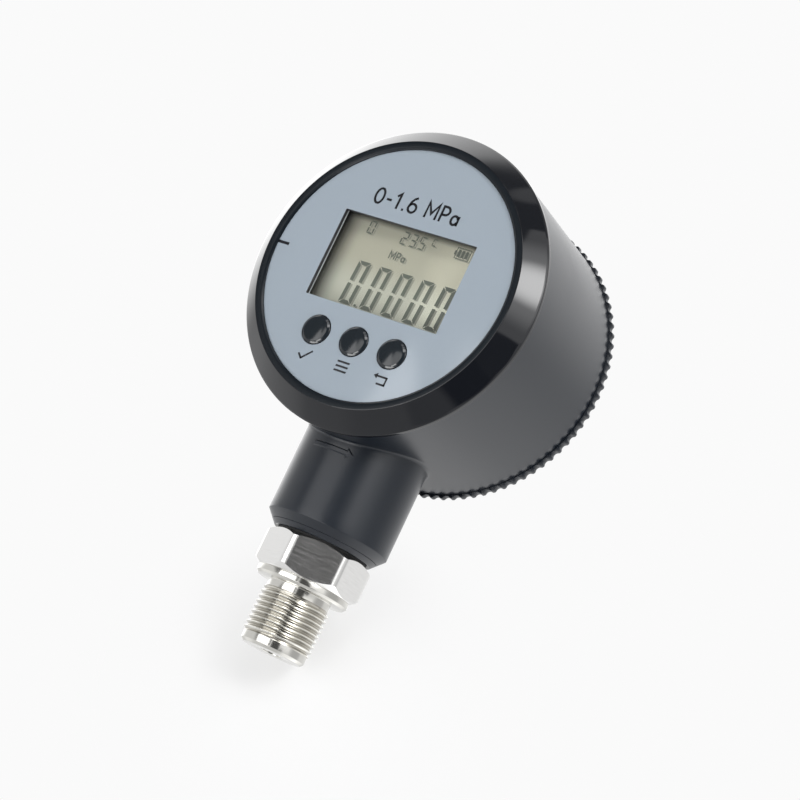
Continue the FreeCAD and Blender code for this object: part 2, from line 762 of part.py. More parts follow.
doc.recompute()
for feature in doc.Objects:
    if "Invalid" in feature.State or "Error" in feature.State:
        raise RuntimeError(f"{feature.Name} failed: {feature.State}")
for node in nodes:
    if node.Shape.isNull() or not node.Shape.isValid():
        raise RuntimeError(f"{node.Label} has no valid shape")

os.makedirs("parts", exist_ok=True)
for node in nodes:
    node.Shape.exportStep(f"parts/{node.Label}.step")
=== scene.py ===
import math

import bmesh
import bpy
from mathutils import Matrix, Vector


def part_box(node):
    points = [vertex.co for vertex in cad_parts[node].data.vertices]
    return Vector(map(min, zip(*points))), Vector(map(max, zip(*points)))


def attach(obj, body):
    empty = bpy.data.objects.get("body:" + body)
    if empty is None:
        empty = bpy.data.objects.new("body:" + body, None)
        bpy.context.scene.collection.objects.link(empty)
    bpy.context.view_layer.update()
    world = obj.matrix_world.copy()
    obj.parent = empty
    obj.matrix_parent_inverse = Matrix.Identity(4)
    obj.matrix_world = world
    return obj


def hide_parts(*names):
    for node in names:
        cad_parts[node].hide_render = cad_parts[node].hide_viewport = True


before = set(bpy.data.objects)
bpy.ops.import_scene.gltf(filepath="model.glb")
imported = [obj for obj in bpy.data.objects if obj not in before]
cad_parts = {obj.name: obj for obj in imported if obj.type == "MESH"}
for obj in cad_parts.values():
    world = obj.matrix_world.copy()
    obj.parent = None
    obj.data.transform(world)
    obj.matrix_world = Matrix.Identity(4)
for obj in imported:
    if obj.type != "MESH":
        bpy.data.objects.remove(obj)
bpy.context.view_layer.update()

# Steel stem: one bar of stainless steel, turned between centres, with a hexagon milled for the spanner.
# The M20 thread is single-point cut, the collar seats the washer, and the pilot end is bored for the
# pressure port. The plain upper end goes into the neck and carries the sensor.
MM = 0.001
STEM_STEPS = 144
THREAD_PITCH = 1.5
THREAD_LOW, THREAD_TOP = 2.8, 16.3
THREAD_LEAD, THREAD_RUNOUT = 0.7, 0.9
PILOT_RADIUS, RELIEF_RADIUS, CREST_RADIUS = 9.3, 9.1, 10.0
PILOT_BEVEL, COLLAR_BEVEL, SHELL_LAP = 0.8, 0.7, 0.1
COLLAR_RADIUS, COLLAR_LOW, COLLAR_TOP, RELIEF_START = 13.4, 18.4, 20.6, 15.9
HEX_APOTHEM, HEX_LAND, HEX_END, HEX_TOP = 13.5, 15.3, 13.2, 31.6
HEX_TURN = math.radians(31)
HEX_CONE_LOW, HEX_CONE_TOP = 0.8, 0.6
SPIGOT_RADIUS, SPIGOT_TOP, SENSOR_BORE = 12.0, 47.6, 9.6
PORT_RADIUS, PORT_TOP = 3.0, 36.0
# One turn of the thread's section: share of the pitch, and radius there.
THREAD_SECTION = [
    (0.0, 9.93), (0.03, 9.985), (0.0625, 10.0), (0.095, 9.985), (0.125, 9.93),
    (0.43, 9.17), (0.5, 9.09), (0.5625, 9.075), (0.625, 9.09), (0.695, 9.17),
]


def eased(corners, steps=5):
    """A closed outline whose corners (across, along, radius) are rounded off."""
    points = []
    for number, (across, along, radius) in enumerate(corners):
        here = Vector((across, along))
        if radius == 0:
            points.append((across, along))
            continue
        before = Vector(corners[number - 1][:2]) - here
        after = Vector(corners[(number + 1) % len(corners)][:2]) - here
        half = before.angle(after) / 2
        before.normalize()
        after.normalize()
        centre = here + (before + after).normalized() * (radius / math.sin(half))
        start = here + before * (radius / math.tan(half)) - centre
        end = here + after * (radius / math.tan(half)) - centre
        for step in range(steps + 1):
            points.append(tuple(centre + start.slerp(end, step / steps).normalized() * radius))
    return points


def banded(count, size, round_again=True, closed=True):
    """Faces between each section of points and the next, and from the last to the first if they go round."""
    faces = []
    for turn in range(count if round_again else count - 1):
        here, there = turn * size, (turn + 1) % count * size
        for one in range(size if closed else size - 1):
            two = (one + 1) % size
            faces.append((here + one, here + two, there + two, there + one))
    return faces


def spun(outline, count, at):
    """Points and faces of a closed outline carried once round an axis."""
    points = [at(across, along, math.tau * turn / count) for turn in range(count) for across, along in outline]
    return points, banded(count, len(outline))


def threaded(section, pitch, low, top, limit, count, at):
    """Points and faces of a screw thread between two heights, cut off by a limiting radius."""
    rows = len(section)
    turns = int((top - low) / pitch) + 2

    def radius_at(height, turn):
        share = ((height - low) / pitch - turn / count) % 1.0
        for (share_a, radius_a), (share_b, radius_b) in zip(section, section[1:] + [(1.0, section[0][1])]):
            if share_a <= share <= share_b:
                return radius_a + (radius_b - radius_a) * (share - share_a) / (share_b - share_a)
        return section[0][1]

    points = []
    for turn in range(count):
        for row in range(turns * rows + 1):
            share, radius = section[row % rows]
            height = low + pitch * (row // rows - 1 + share + turn / count)
            if not low < height < top:
                height = min(max(height, low), top)
                radius = radius_at(height, turn)
            points.append(at(min(radius, limit(height)), height, math.tau * turn / count))
    size = turns * rows + 1
    faces = []
    for turn in range(count):
        shift = rows if turn == count - 1 else 0
        there = (turn + 1) % count * size
        for row in range(size - 1 - shift):
            one, two = turn * size + row, there + row + shift
            faces.append((one, one + 1, two + 1, two))
    return points, faces


def about_stem(across, along, angle):
    return across * math.cos(angle), across * math.sin(angle), along


def joined(*shells):
    """Several (points, faces) lists as one, with the number of the shell that each face is in."""
    points, faces, owners = [], [], []
    for owner, (shell_points, shell_faces) in enumerate(shells):
        start = len(points)
        points += shell_points
        faces += [tuple(start + corner for corner in face) for face in shell_faces]
        owners += [owner] * len(shell_faces)
    return points, faces, owners


def placed(name, data):
    """A new object in the scene."""
    thing = bpy.data.objects.new(name, data)
    bpy.context.scene.collection.objects.link(thing)
    return thing


def make_piece(name, points, faces, owners=None, sharp=30):
    """A mesh piece from points in millimetres, with welded seams and smooth faces between its sharp edges."""
    mesh = bpy.data.meshes.new(name)
    mesh.from_pydata([(x * MM, y * MM, z * MM) for x, y, z in points], [], faces)
    if owners:
        mesh.polygons.foreach_set("material_index", owners)
    shape = bmesh.new()
    shape.from_mesh(mesh)
    bmesh.ops.remove_doubles(shape, verts=shape.verts, dist=0.002 * MM)
    bmesh.ops.dissolve_degenerate(shape, edges=shape.edges, dist=0.001 * MM)
    bmesh.ops.recalc_face_normals(shape, faces=shape.faces)
    shape.to_mesh(mesh)
    shape.free()
    mesh.shade_smooth()
    mesh.set_sharp_from_angle(angle=math.radians(sharp))
    return placed(name, mesh)


def thread_limit(height):
    if height < THREAD_LOW + THREAD_LEAD:
        return PILOT_RADIUS + height - THREAD_LOW
    if height > THREAD_TOP - THREAD_RUNOUT:
        return CREST_RADIUS - (height - THREAD_TOP + THREAD_RUNOUT)
    return CREST_RADIUS


def hexagon_shell():
    """The milled hexagon: flats with turned corner lands, and a cone at each end."""
    flat = math.acos(HEX_APOTHEM / HEX_LAND)
    land = math.radians(30) - flat
    angles = []
    for side in range(6):
        middle = math.radians(60 * side)
        angles += [middle - flat + 2 * flat * step / 16 for step in range(17)]
        angles += [middle + flat + 2 * land * step / 4 for step in range(1, 4)]
    points = []
    for angle in angles:
        off = (angle + math.radians(30)) % math.radians(60) - math.radians(30)
        reach = min(HEX_APOTHEM / math.cos(off), HEX_LAND)
        profile = [
            (0, COLLAR_TOP), (HEX_END, COLLAR_TOP), (reach, COLLAR_TOP + HEX_CONE_LOW * (reach - HEX_END)),
            (reach, HEX_TOP - HEX_CONE_TOP * (reach - HEX_END)), (HEX_END, HEX_TOP), (0, HEX_TOP)]
        points += [about_stem(across, along, angle + HEX_TURN - math.radians(90)) for across, along in profile]
    return points, banded(len(angles), 6, closed=False)


lower_end = spun(eased([
    (0, PORT_TOP, 0), (PORT_RADIUS, PORT_TOP, 0), (PORT_RADIUS, 0, 0.25), (PILOT_RADIUS - PILOT_BEVEL, 0, 0.15),
    (PILOT_RADIUS, PILOT_BEVEL, 0.15), (PILOT_RADIUS, THREAD_LOW, 0), (RELIEF_RADIUS - SHELL_LAP, THREAD_LOW, 0),
    (0, THREAD_LOW, 0),
]), STEM_STEPS, about_stem)
thread = threaded(THREAD_SECTION, THREAD_PITCH, THREAD_LOW, THREAD_TOP, thread_limit, STEM_STEPS, about_stem)
collar = spun(eased([
    (0, RELIEF_START, 0), (RELIEF_RADIUS - SHELL_LAP, RELIEF_START, 0), (RELIEF_RADIUS, THREAD_TOP, 0),
    (RELIEF_RADIUS, COLLAR_LOW, 0.3), (COLLAR_RADIUS - COLLAR_BEVEL, COLLAR_LOW, 0.12),
    (COLLAR_RADIUS, COLLAR_LOW + COLLAR_BEVEL, 0.12), (COLLAR_RADIUS, COLLAR_TOP, 0.1), (0, COLLAR_TOP, 0),
]), STEM_STEPS, about_stem)
upper_end = spun(eased([
    (0, HEX_TOP, 0), (SPIGOT_RADIUS, HEX_TOP, 0), (SPIGOT_RADIUS, SPIGOT_TOP, 0.3), (SENSOR_BORE, SPIGOT_TOP, 0.2),
    (SENSOR_BORE, PORT_TOP, 0), (0, PORT_TOP, 0),
]), STEM_STEPS, about_stem)
stem = make_piece("steel_stem", *joined(lower_end, thread, collar, upper_end, hexagon_shell()), sharp=38)
# The shells numbered 1 and 4, thread and hexagon, have finishes of their own.
for polygon in stem.data.polygons:
    polygon.material_index = {1: 2, 4: 1}.get(polygon.material_index, 0)


def new_group(name, inputs, outputs):
    """An empty shader node group with named sockets for values; inputs are (name, default)."""
    group = bpy.data.node_groups.new(name, "ShaderNodeTree")
    for label, default in inputs:
        socket = group.interface.new_socket(label, in_out="INPUT", socket_type="NodeSocketFloat")
        socket.default_value = default
    for label in outputs:
        group.interface.new_socket(label, in_out="OUTPUT", socket_type="NodeSocketFloat")
    return group, group.nodes.new("NodeGroupInput").outputs, group.nodes.new("NodeGroupOutput")


def feed(tree, node, values):
    """Gives inputs of a node a constant each, or a link from another node's output."""
    for key, value in values.items():
        if isinstance(value, bpy.types.NodeSocket):
            tree.links.new(value, node.inputs[key])
        else:
            node.inputs[key].default_value = value


def add_node(tree, kind, values=None, **settings):
    """A new node with its settings and what its inputs get."""
    node = tree.nodes.new(kind)
    for key, setting in settings.items():
        setattr(node, key, setting)
    feed(tree, node, values or {})
    return node


def new_material(name):
    """A material with one Principled shader, which is returned with its tree."""
    material = bpy.data.materials.new(name)
    material.use_nodes = True
    tree = material.node_tree
    return material, tree, tree.nodes["Principled BSDF"]


def use_group(tree, group, values):
    return add_node(tree, "ShaderNodeGroup", values, node_tree=group).outputs


def ramp(tree, source, start, end, low=0.0, high=1.0, kind="LINEAR"):
    """A value that runs from low to high while its source runs from start to end."""
    return add_node(tree, "ShaderNodeMapRange", {
        "Value": source, "From Min": start, "From Max": end, "To Min": low, "To Max": high,
    }, interpolation_type=kind).outputs["Result"]


def tinted(tree, mask, low, high):
    """A colour that runs from low to high with a mask."""
    ends = {"Factor": mask, "A": (*low, 1), "B": (*high, 1)}
    return add_node(tree, "ShaderNodeMix", ends, data_type="RGBA").outputs["Result"]


def surfaced(tree, shader, tint_mask, tints, rough_mask, roughness, metallic=0.0):
    """Gives a shader a colour and a roughness, each a pair between which a mask runs, and its share of metal."""
    feed(tree, shader, {
        "Base Color": tinted(tree, tint_mask, *tints), "Roughness": ramp(tree, rough_mask, 0, 1, *roughness),
        "Metallic": metallic})


def bumped(tree, shader, height, strength, distance):
    """Fine relief on a shader's surface."""
    bump = add_node(tree, "ShaderNodeBump", {"Strength": strength, "Distance": distance, "Height": height})
    feed(tree, shader, {"Normal": bump.outputs["Normal"]})


# Cutter marks left on turned and milled steel: fine lines that run across the stem.
tool_lines, lines_in, lines_out = new_group("tool_lines", [("Along", 60.0), ("Across", 5000.0)], ["Lines", "Patches"])
place = add_node(tool_lines, "ShaderNodeTexCoord").outputs["Object"]
stretch = add_node(tool_lines, "ShaderNodeCombineXYZ", {
    "X": lines_in["Along"], "Y": lines_in["Along"], "Z": lines_in["Across"]}).outputs["Vector"]
lined = add_node(tool_lines, "ShaderNodeVectorMath", {0: place, 1: stretch}, operation="MULTIPLY").outputs["Vector"]
lines_noise = add_node(tool_lines, "ShaderNodeTexNoise", {
    "Vector": lined, "Scale": 1.0, "Detail": 3.0, "Roughness": 0.6})
patch_noise = add_node(tool_lines, "ShaderNodeTexNoise", {"Vector": place, "Scale": 160.0, "Detail": 4.0})
feed(tool_lines, lines_out, {"Lines": lines_noise.outputs["Fac"], "Patches": patch_noise.outputs["Fac"]})

turned_steel, tree, shader = new_material("turned_steel")
marks = use_group(tree, tool_lines, {"Along": 50.0, "Across": 7000.0})
surfaced(tree, shader, marks["Patches"], ((0.64, 0.63, 0.59), (0.74, 0.73, 0.70)), marks["Lines"], (0.08, 0.2), 1.0)
bumped(tree, shader, marks["Lines"], 0.05, 0.00004)

# The thread's colour is painted darker towards its roots than at its crests: painted shade in the hollows.
thread_steel_painted_shade, tree, shader = new_material("thread_steel_painted_shade")
marks = use_group(tree, tool_lines, {"Along": 50.0, "Across": 7000.0})
place = add_node(tree, "ShaderNodeTexCoord").outputs["Object"]
flat = add_node(tree, "ShaderNodeVectorMath", {0: place, 1: (1, 1, 0)}, operation="MULTIPLY").outputs["Vector"]
reach = add_node(tree, "ShaderNodeVectorMath", {0: flat}, operation="LENGTH").outputs["Value"]
# This mask runs from the thread's roots to its crests and carries the painted shade of the roots.
height = ramp(tree, reach, 9.15 * MM, 9.85 * MM)
surfaced(tree, shader, height, ((0.50, 0.48, 0.43), (0.80, 0.79, 0.75)), marks["Lines"], (0.12, 0.24), 1.0)

milled_steel, tree, shader = new_material("milled_steel")
marks = use_group(tree, tool_lines, {"Along": 150.0, "Across": 4300.0})
dull = ramp(tree, marks["Lines"], 0.45, 0.7)
surfaced(tree, shader, dull, ((0.86, 0.855, 0.845), (0.79, 0.785, 0.775)), dull, (0.16, 0.27), 1.0)
bumped(tree, shader, marks["Lines"], 0.3, 0.000007)

stem.data.materials.append(turned_steel)
stem.data.materials.append(milled_steel)
stem.data.materials.append(thread_steel_painted_shade)
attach(stem, "gauge")
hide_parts("process_connection")

# Pressure sensor in the top of the stem: a stepped ceramic capsule on a rubber washer,
# held down by a threaded steel ring. All three are closed in by the neck.
GRAIN_DEPTH = 0.00003


def dress(material, *names):
    """Gives CAD nodes a finish."""
    for name in names:
        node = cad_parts[name]
        if not node.material_slots:
            node.data.materials.append(material)
        for place in node.material_slots:
            place.material = material


def noise_group(name, fine, coarse, fine_values, coarse_values):
    """A node group with a fine noise of any scale and a coarse noise of its own."""
    group, group_in, group_out = new_group(name, [("Scale", 1000.0)], [fine, coarse])
    place = add_node(group, "ShaderNodeTexCoord").outputs["Object"]
    fine_noise = add_node(group, "ShaderNodeTexNoise", {"Vector": place, "Scale": group_in["Scale"], **fine_values})
    coarse_noise = add_node(group, "ShaderNodeTexNoise", {"Vector": place, **coarse_values})
    feed(group, group_out, {fine: fine_noise.outputs["Fac"], coarse: coarse_noise.outputs["Fac"]})
    return group


# Powdery unevenness of a soft or fired surface.
fine_specks = noise_group(
    "fine_specks", "Specks", "Clouds", {"Detail": 3.0, "Roughness": 0.65}, {"Scale": 90.0, "Detail": 4.0})


def speckled(name, tints, scale, roughness, strength, metallic=0.0):
    """A plain finish with specks in its colour, its gloss and its relief."""
    material, tree, shader = new_material(name)
    specks = use_group(tree, fine_specks, {"Scale": scale})
    surfaced(tree, shader, specks["Clouds"], tints, specks["Specks"], roughness, metallic)
    bumped(tree, shader, specks["Specks"], strength, GRAIN_DEPTH)
    return material


seal_rubber = speckled("seal_rubber", ((0.012, 0.012, 0.012), (0.022, 0.022, 0.022)), 1600.0, (0.6, 0.8), 0.3)
fired_ceramic = speckled("fired_ceramic", ((0.74, 0.73, 0.69), (0.84, 0.83, 0.79)), 1400.0, (0.4, 0.6), 0.2)
dress(fired_ceramic, "sensor_capsule")
dress(turned_steel, "sensor_retainer")
dress(seal_rubber, "sensor_seal")

# Neck seal: a flat rubber washer, stamped from sheet.
# It is squeezed between the hexagon and the underside of the neck.
dress(seal_rubber, "neck_seal")

# Case: barrel and neck moulded in one from filled plastic, with a slight draft to the rear and a fine even grain.
# The neck has a bevelled foot with a fine parting groove, and its root runs into the barrel through a small blend.
bezel_low, bezel_high = (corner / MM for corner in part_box("front_bezel"))
DIAL_HEIGHT = (bezel_low.z + bezel_high.z) / 2
LIP_RISE = 0.4
LIP_PLANE = bezel_low.y + LIP_RISE
BARREL_STEPS, PATCH_HALF, PATCH_ROWS, PATCH_REACH = 288, 24, 40, 21.0
BARREL_FRONT, BARREL_REAR = 6.0, 55.05
FRONT_RADIUS, REAR_RADIUS = 44.3, 42.8
FRONT_BORE, REAR_BORE, LEDGE_RADIUS = 41.7, 40.2, 33.2
LEDGE_FRONT, LEDGE_REAR = 20.0, 22.0
NECK_RADIUS, NECK_LOW, NECK_FOOT, NECK_BEVEL, NECK_BLEND = 17.6, 32.1, 14.3, 3.6, 0.9
NECK_BORE, NECK_ROOF = 12.1, 48.6
# The parting groove on the neck's bevel: radius, and height over the neck's low end.
NECK_GROOVE = [(15.61, 1.43), (15.44, 1.47), (15.5, 1.31)]
BLEND_STEPS, WALL_STEPS = 6, 8


def barrel_radius(y):
    share = (y - LIP_PLANE - BARREL_FRONT) / (BARREL_REAR - BARREL_FRONT)
    return FRONT_RADIUS + (REAR_RADIUS - FRONT_RADIUS) * share


def under_barrel(x, y):
    return Vector((x, y, DIAL_HEIGHT - math.sqrt(barrel_radius(y) ** 2 - x * x)))


def neck_column(edge, angle, foot):
    """Points from the edge of the square in the barrel over the blend and down the neck, at one angle."""
    outward = Vector((math.sin(angle), -math.cos(angle)))
    ring = outward * (NECK_RADIUS + NECK_BLEND)
    column = [under_barrel(*(ring + (edge - ring) * share)) for share in (0.7, 0.45, 0.25, 0.1, 0)]
    crease = under_barrel(*(outward * NECK_RADIUS))
    start, end = column[-1], crease - Vector((0, 0, NECK_BLEND))
    for step in range(1, BLEND_STEPS + 1):
        share = step / BLEND_STEPS
        column.append(start * (1 - share) ** 2 + crease * 2 * share * (1 - share) + end * share ** 2)
    for step in range(1, WALL_STEPS):
        column.append(end + (Vector((end.x, end.y, foot[0][1])) - end) * step / WALL_STEPS)
    return column + [Vector((*(outward * across), along)) for across, along in foot]


def case_shell():
    """The hollow barrel with a square of its underside left out, and the neck that grows from that square."""
    front, rear = LIP_PLANE + BARREL_FRONT, LIP_PLANE + BARREL_REAR
    wall = [front + 0.2, -PATCH_REACH - 1.0]
    wall += [PATCH_REACH * (2 * row / PATCH_ROWS - 1) for row in range(PATCH_ROWS + 1)]
    wall += [PATCH_REACH + 2.0, rear - 0.35]
    loop = [(FRONT_RADIUS - 0.2, front)] + [(barrel_radius(y), y) for y in wall]
    loop += [
        (REAR_RADIUS - 0.1, rear - 0.12), (REAR_RADIUS - 0.35, rear), (REAR_BORE + 0.3, rear), (REAR_BORE, rear - 0.3),
        (REAR_BORE, LIP_PLANE + LEDGE_REAR), (LEDGE_RADIUS, LIP_PLANE + LEDGE_REAR),
        (LEDGE_RADIUS, LIP_PLANE + LEDGE_FRONT), (FRONT_BORE, LIP_PLANE + LEDGE_FRONT), (FRONT_BORE, front)]
    patch_start = 1 + wall.index(-PATCH_REACH)
    patch_end = patch_start + PATCH_ROWS
    size = len(loop)
    points, faces = [], []
    for column in range(BARREL_STEPS):
        angle = math.tau * (column - PATCH_HALF) / BARREL_STEPS
        points += [(radius * math.sin(angle), y, DIAL_HEIGHT - radius * math.cos(angle)) for radius, y in loop]
    for number, face in enumerate(banded(BARREL_STEPS, size)):
        if number // size >= 2 * PATCH_HALF or not patch_start <= number % size < patch_end:
            faces.append(face)
    rim = [column * size + patch_start for column in range(2 * PATCH_HALF)]
    rim += [2 * PATCH_HALF * size + row for row in range(patch_start, patch_end)]
    rim += [column * size + patch_end for column in range(2 * PATCH_HALF, 0, -1)]
    rim += [row for row in range(patch_end, patch_start, -1)]
    foot = eased([
        (0, NECK_ROOF, 0), (NECK_RADIUS, NECK_ROOF, 0), (NECK_RADIUS, NECK_LOW + NECK_BEVEL, 0.25),
        *((radius, NECK_LOW + up, 0) for radius, up in NECK_GROOVE),
        (NECK_FOOT, NECK_LOW, 0.3), (NECK_BORE, NECK_LOW, 0.15), (NECK_BORE, NECK_ROOF, 0)])
    foot = foot[2:] + foot[:1]
    edges = [Vector(points[corner][:2]) for corner in rim]
    columns = [neck_column(edge, math.atan2(edge.x, -edge.y), foot) for edge in edges]
    start, depth = len(points), len(columns[0])
    points += [tuple(point) for column in columns for point in column]
    for number, corner in enumerate(rim):
        following = (number + 1) % len(rim)
        here, there = start + number * depth, start + following * depth
        faces.append((corner, rim[following], there, here))
        faces += [(here + row, there + row, there + row + 1, here + row + 1) for row in range(depth - 1)]
    return points, faces


case = make_piece("case_moulding", *case_shell(), sharp=35)

# Fine relief of a moulded surface, with the faint clouding that handling leaves on it.
mould_grain = noise_group(
    "mould_grain", "Grain", "Handling", {"Detail": 2.0, "Roughness": 0.55},
    {"Scale": 55.0, "Detail": 5.0, "Roughness": 0.6, "Distortion": 0.4})


def moulded(name, tints, scale, roughness, strength, specular=0.5):
    """A moulded plastic with its grain and its handling marks."""
    material, tree, shader = new_material(name)
    grain = use_group(tree, mould_grain, {"Scale": scale})
    surfaced(tree, shader, grain["Handling"], tints, grain["Handling"], roughness)
    bumped(tree, shader, grain["Grain"], strength, GRAIN_DEPTH)
    feed(tree, shader, {"Specular IOR Level": specular})
    return material


black_moulding = moulded("black_moulding", ((0.008, 0.011, 0.017), (0.012, 0.016, 0.023)), 2600.0, (0.26, 0.34), 0.3)
case.data.materials.append(black_moulding)
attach(case, "gauge")
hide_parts("case_body")

# Flow arrow: a low raised arrow with sloping sides on the front of the neck.
# It is moulded in one with the case, from the same filled plastic.
ARROW_HEIGHT, ARROW_RISE, ARROW_SUNK = 55.4, 0.42, 0.06
ARROW_START, ARROW_HEAD, ARROW_TIP = -6.1, 4.9, 7.2
ARROW_SHAFT_HALF, ARROW_HEAD_HALF, ARROW_DRAFT = 0.85, 1.75, 0.4
SHAFT_STEPS, HEAD_STEPS = 20, 4


def arrow_shell():
    """Sections across the arrow: where its foot lies along the neck, half its width there, and the same for its top."""
    taper = ARROW_HEAD_HALF / (ARROW_TIP - ARROW_HEAD)
    top_tip = ARROW_TIP - ARROW_DRAFT * math.sqrt(1 + 1 / taper ** 2)
    shaft_top, head_top = ARROW_SHAFT_HALF - ARROW_DRAFT, ARROW_HEAD + ARROW_DRAFT
    sections = [(ARROW_START, ARROW_SHAFT_HALF, ARROW_START + ARROW_DRAFT, shaft_top)]
    for step in range(1, SHAFT_STEPS):
        along = ARROW_START + (ARROW_HEAD - ARROW_START) * step / SHAFT_STEPS
        sections.append((along, ARROW_SHAFT_HALF, along, shaft_top))
    sections.append((ARROW_HEAD, ARROW_SHAFT_HALF, head_top, shaft_top))
    for step in range(HEAD_STEPS + 1):
        foot = ARROW_HEAD + (ARROW_TIP - ARROW_HEAD) * step / HEAD_STEPS
        top = head_top + (top_tip - head_top) * step / HEAD_STEPS
        sections.append((foot, taper * (ARROW_TIP - foot), top, taper * (top_tip - top)))
    low, high = NECK_RADIUS - ARROW_SUNK, NECK_RADIUS + ARROW_RISE
    points = []
    for foot, foot_half, top, top_half in sections:
        for radius, along, up in (
                (low, foot, -foot_half), (high, top, -top_half), (high, top, top_half), (low, foot, foot_half)):
            angle = along / NECK_RADIUS
            points.append((radius * math.sin(angle), -radius * math.cos(angle), ARROW_HEIGHT + up))
    return points, [(0, 1, 2, 3)] + banded(len(sections), 4, round_again=False)


arrow = make_piece("flow_arrow", *arrow_shell(), sharp=25)
arrow.data.materials.append(black_moulding)
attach(arrow, "gauge")

# Battery holder, contacts and cell, and the screws that hold the holder on the ledge in the barrel.
# The holder is a white moulding, the contacts are nickel plated springs, the cell has a plain sleeve.
white_moulding = moulded("white_moulding", ((0.66, 0.66, 0.64), (0.74, 0.74, 0.72)), 1500.0, (0.45, 0.6), 0.25)
plated_metal = speckled("plated_metal", ((0.62, 0.61, 0.58), (0.76, 0.75, 0.72)), 1200.0, (0.18, 0.32), 0.08, 1.0)
battery_sleeve = speckled("battery_sleeve", ((0.055, 0.085, 0.17), (0.075, 0.11, 0.21)), 700.0, (0.2, 0.32), 0.1)
dress(white_moulding, "battery_holder")
dress(plated_metal, "battery_contacts", "holder_screws", "board_screws")
dress(battery_sleeve, "battery")

# Circuit board with its chip, its radio module and its antenna, screwed to four bosses behind the display.
# The board is coated glass laminate, the chip has a moulded package, the radio a plated can.
board_laminate = speckled("board_laminate", ((0.018, 0.11, 0.045), (0.03, 0.17, 0.07)), 500.0, (0.25, 0.4), 0.25)
chip_package = speckled("chip_package", ((0.018, 0.018, 0.02), (0.03, 0.03, 0.033)), 2000.0, (0.45, 0.6), 0.3)
dress(board_laminate, "main_board")
dress(chip_package, "processor_chip", "left_switch", "middle_switch", "right_switch")
dress(plated_metal, "radio_module")
dress(fired_ceramic, "antenna")
dress(white_moulding, "left_plunger", "middle_plunger", "right_plunger")

# Display frame: the black moulded tray that carries the display cell and the lens.
# It stands on the circuit board, behind the panel.
dress(black_moulding, "lcd_frame")

# Display cell: two sheets of glass with the liquid crystal between them and a pale reflector behind.
# The reflector lies deep under the panel; its colour carries painted shade towards the left and the top of the window
# and painted light towards the right, and is painted lighter and greener towards the bottom.
CELL_LOW, CELL_HIGH = (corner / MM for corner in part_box("lcd_glass"))
REFLECTOR_DEPTH = 4.9


def box_shell(low, high):
    points = [(x, y, z) for x in (low[0], high[0]) for y in (low[1], high[1]) for z in (low[2], high[2])]
    return points, [(0, 1, 3, 2), (4, 6, 7, 5), (0, 4, 5, 1), (2, 3, 7, 6), (0, 2, 6, 4), (1, 5, 7, 3)]


reflector_front = LIP_PLANE + REFLECTOR_DEPTH
reflector = box_shell((CELL_LOW.x, reflector_front, CELL_LOW.z), CELL_HIGH)
cell_glass = box_shell((CELL_LOW.x, CELL_LOW.y + 0.03, CELL_LOW.z), (CELL_HIGH.x, reflector_front - 0.02, CELL_HIGH.z))
cell = make_piece("display_cell", *joined(reflector, cell_glass))


def combined(tree, operation, one, two):
    """One value made from two."""
    return add_node(tree, "ShaderNodeMath", {0: one, 1: two}, operation=operation).outputs["Value"]


display_reflector_painted_shading, tree, shader = new_material("display_reflector_painted_shading")
place = add_node(tree, "ShaderNodeTexCoord").outputs["Object"]
parts = add_node(tree, "ShaderNodeSeparateXYZ", {"Vector": place}).outputs
across, up = parts["X"], parts["Z"]
# Painted light and shade on the reflector: lighter and greener lower down, painted shade at its left and top edges,
# painted light at its right.
painted_low_light = ramp(tree, up, (DIAL_HEIGHT + 4.0) * MM, (DIAL_HEIGHT - 5.0) * MM, kind="SMOOTHSTEP")
painted_left_shade = ramp(tree, across, -23.0 * MM, -14.7 * MM, 0.05, 1.0, "SMOOTHSTEP")
painted_right_light = ramp(tree, across, 7.0 * MM, 21.0 * MM, 1.0, 1.6)
painted_top_shade = ramp(tree, up, (DIAL_HEIGHT + 15.2) * MM, (DIAL_HEIGHT + 13.25) * MM, 0.12, 1.0)
light = combined(tree, "MULTIPLY", combined(tree, "MULTIPLY", painted_left_shade, painted_right_light), painted_top_shade)
tint = tinted(tree, painted_low_light, (0.478, 0.457, 0.378), (0.562, 0.562, 0.49))
shaded = add_node(tree, "ShaderNodeVectorMath", {0: tint, "Scale": light}, operation="SCALE").outputs["Vector"]
specks = use_group(tree, fine_specks, {"Scale": 2400.0})["Specks"]
feed(tree, shader, {"Base Color": shaded, "Roughness": ramp(tree, specks, 0, 1, 0.5, 0.7)})
bumped(tree, shader, specks, 0.1, 0.00002)


def clear_sheet(name, tint, roughness):
    """Clear sheet that lets lamplight through to what lies behind it."""
    material, tree, shader = new_material(name)
    feed(tree, shader, {"Base Color": (*tint, 1), "Roughness": roughness, "IOR": 1.49, "Transmission Weight": 1.0})
    through = add_node(tree, "ShaderNodeBsdfTransparent", {"Color": (*tint, 1)}).outputs["BSDF"]
    rays = add_node(tree, "ShaderNodeLightPath").outputs
    passing = combined(tree, "MAXIMUM", rays["Is Shadow Ray"], rays["Is Diffuse Ray"])
    mix = add_node(tree, "ShaderNodeMixShader", {"Fac": passing, 1: shader.outputs["BSDF"], 2: through})
    feed(tree, tree.nodes["Material Output"], {"Surface": mix.outputs["Shader"]})
    return material


cell.data.materials.append(display_reflector_painted_shading)
cell.data.materials.append(clear_sheet("cell_sheet", (0.97, 0.975, 0.96), 0.02))
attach(cell, "gauge")
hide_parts("lcd_glass")
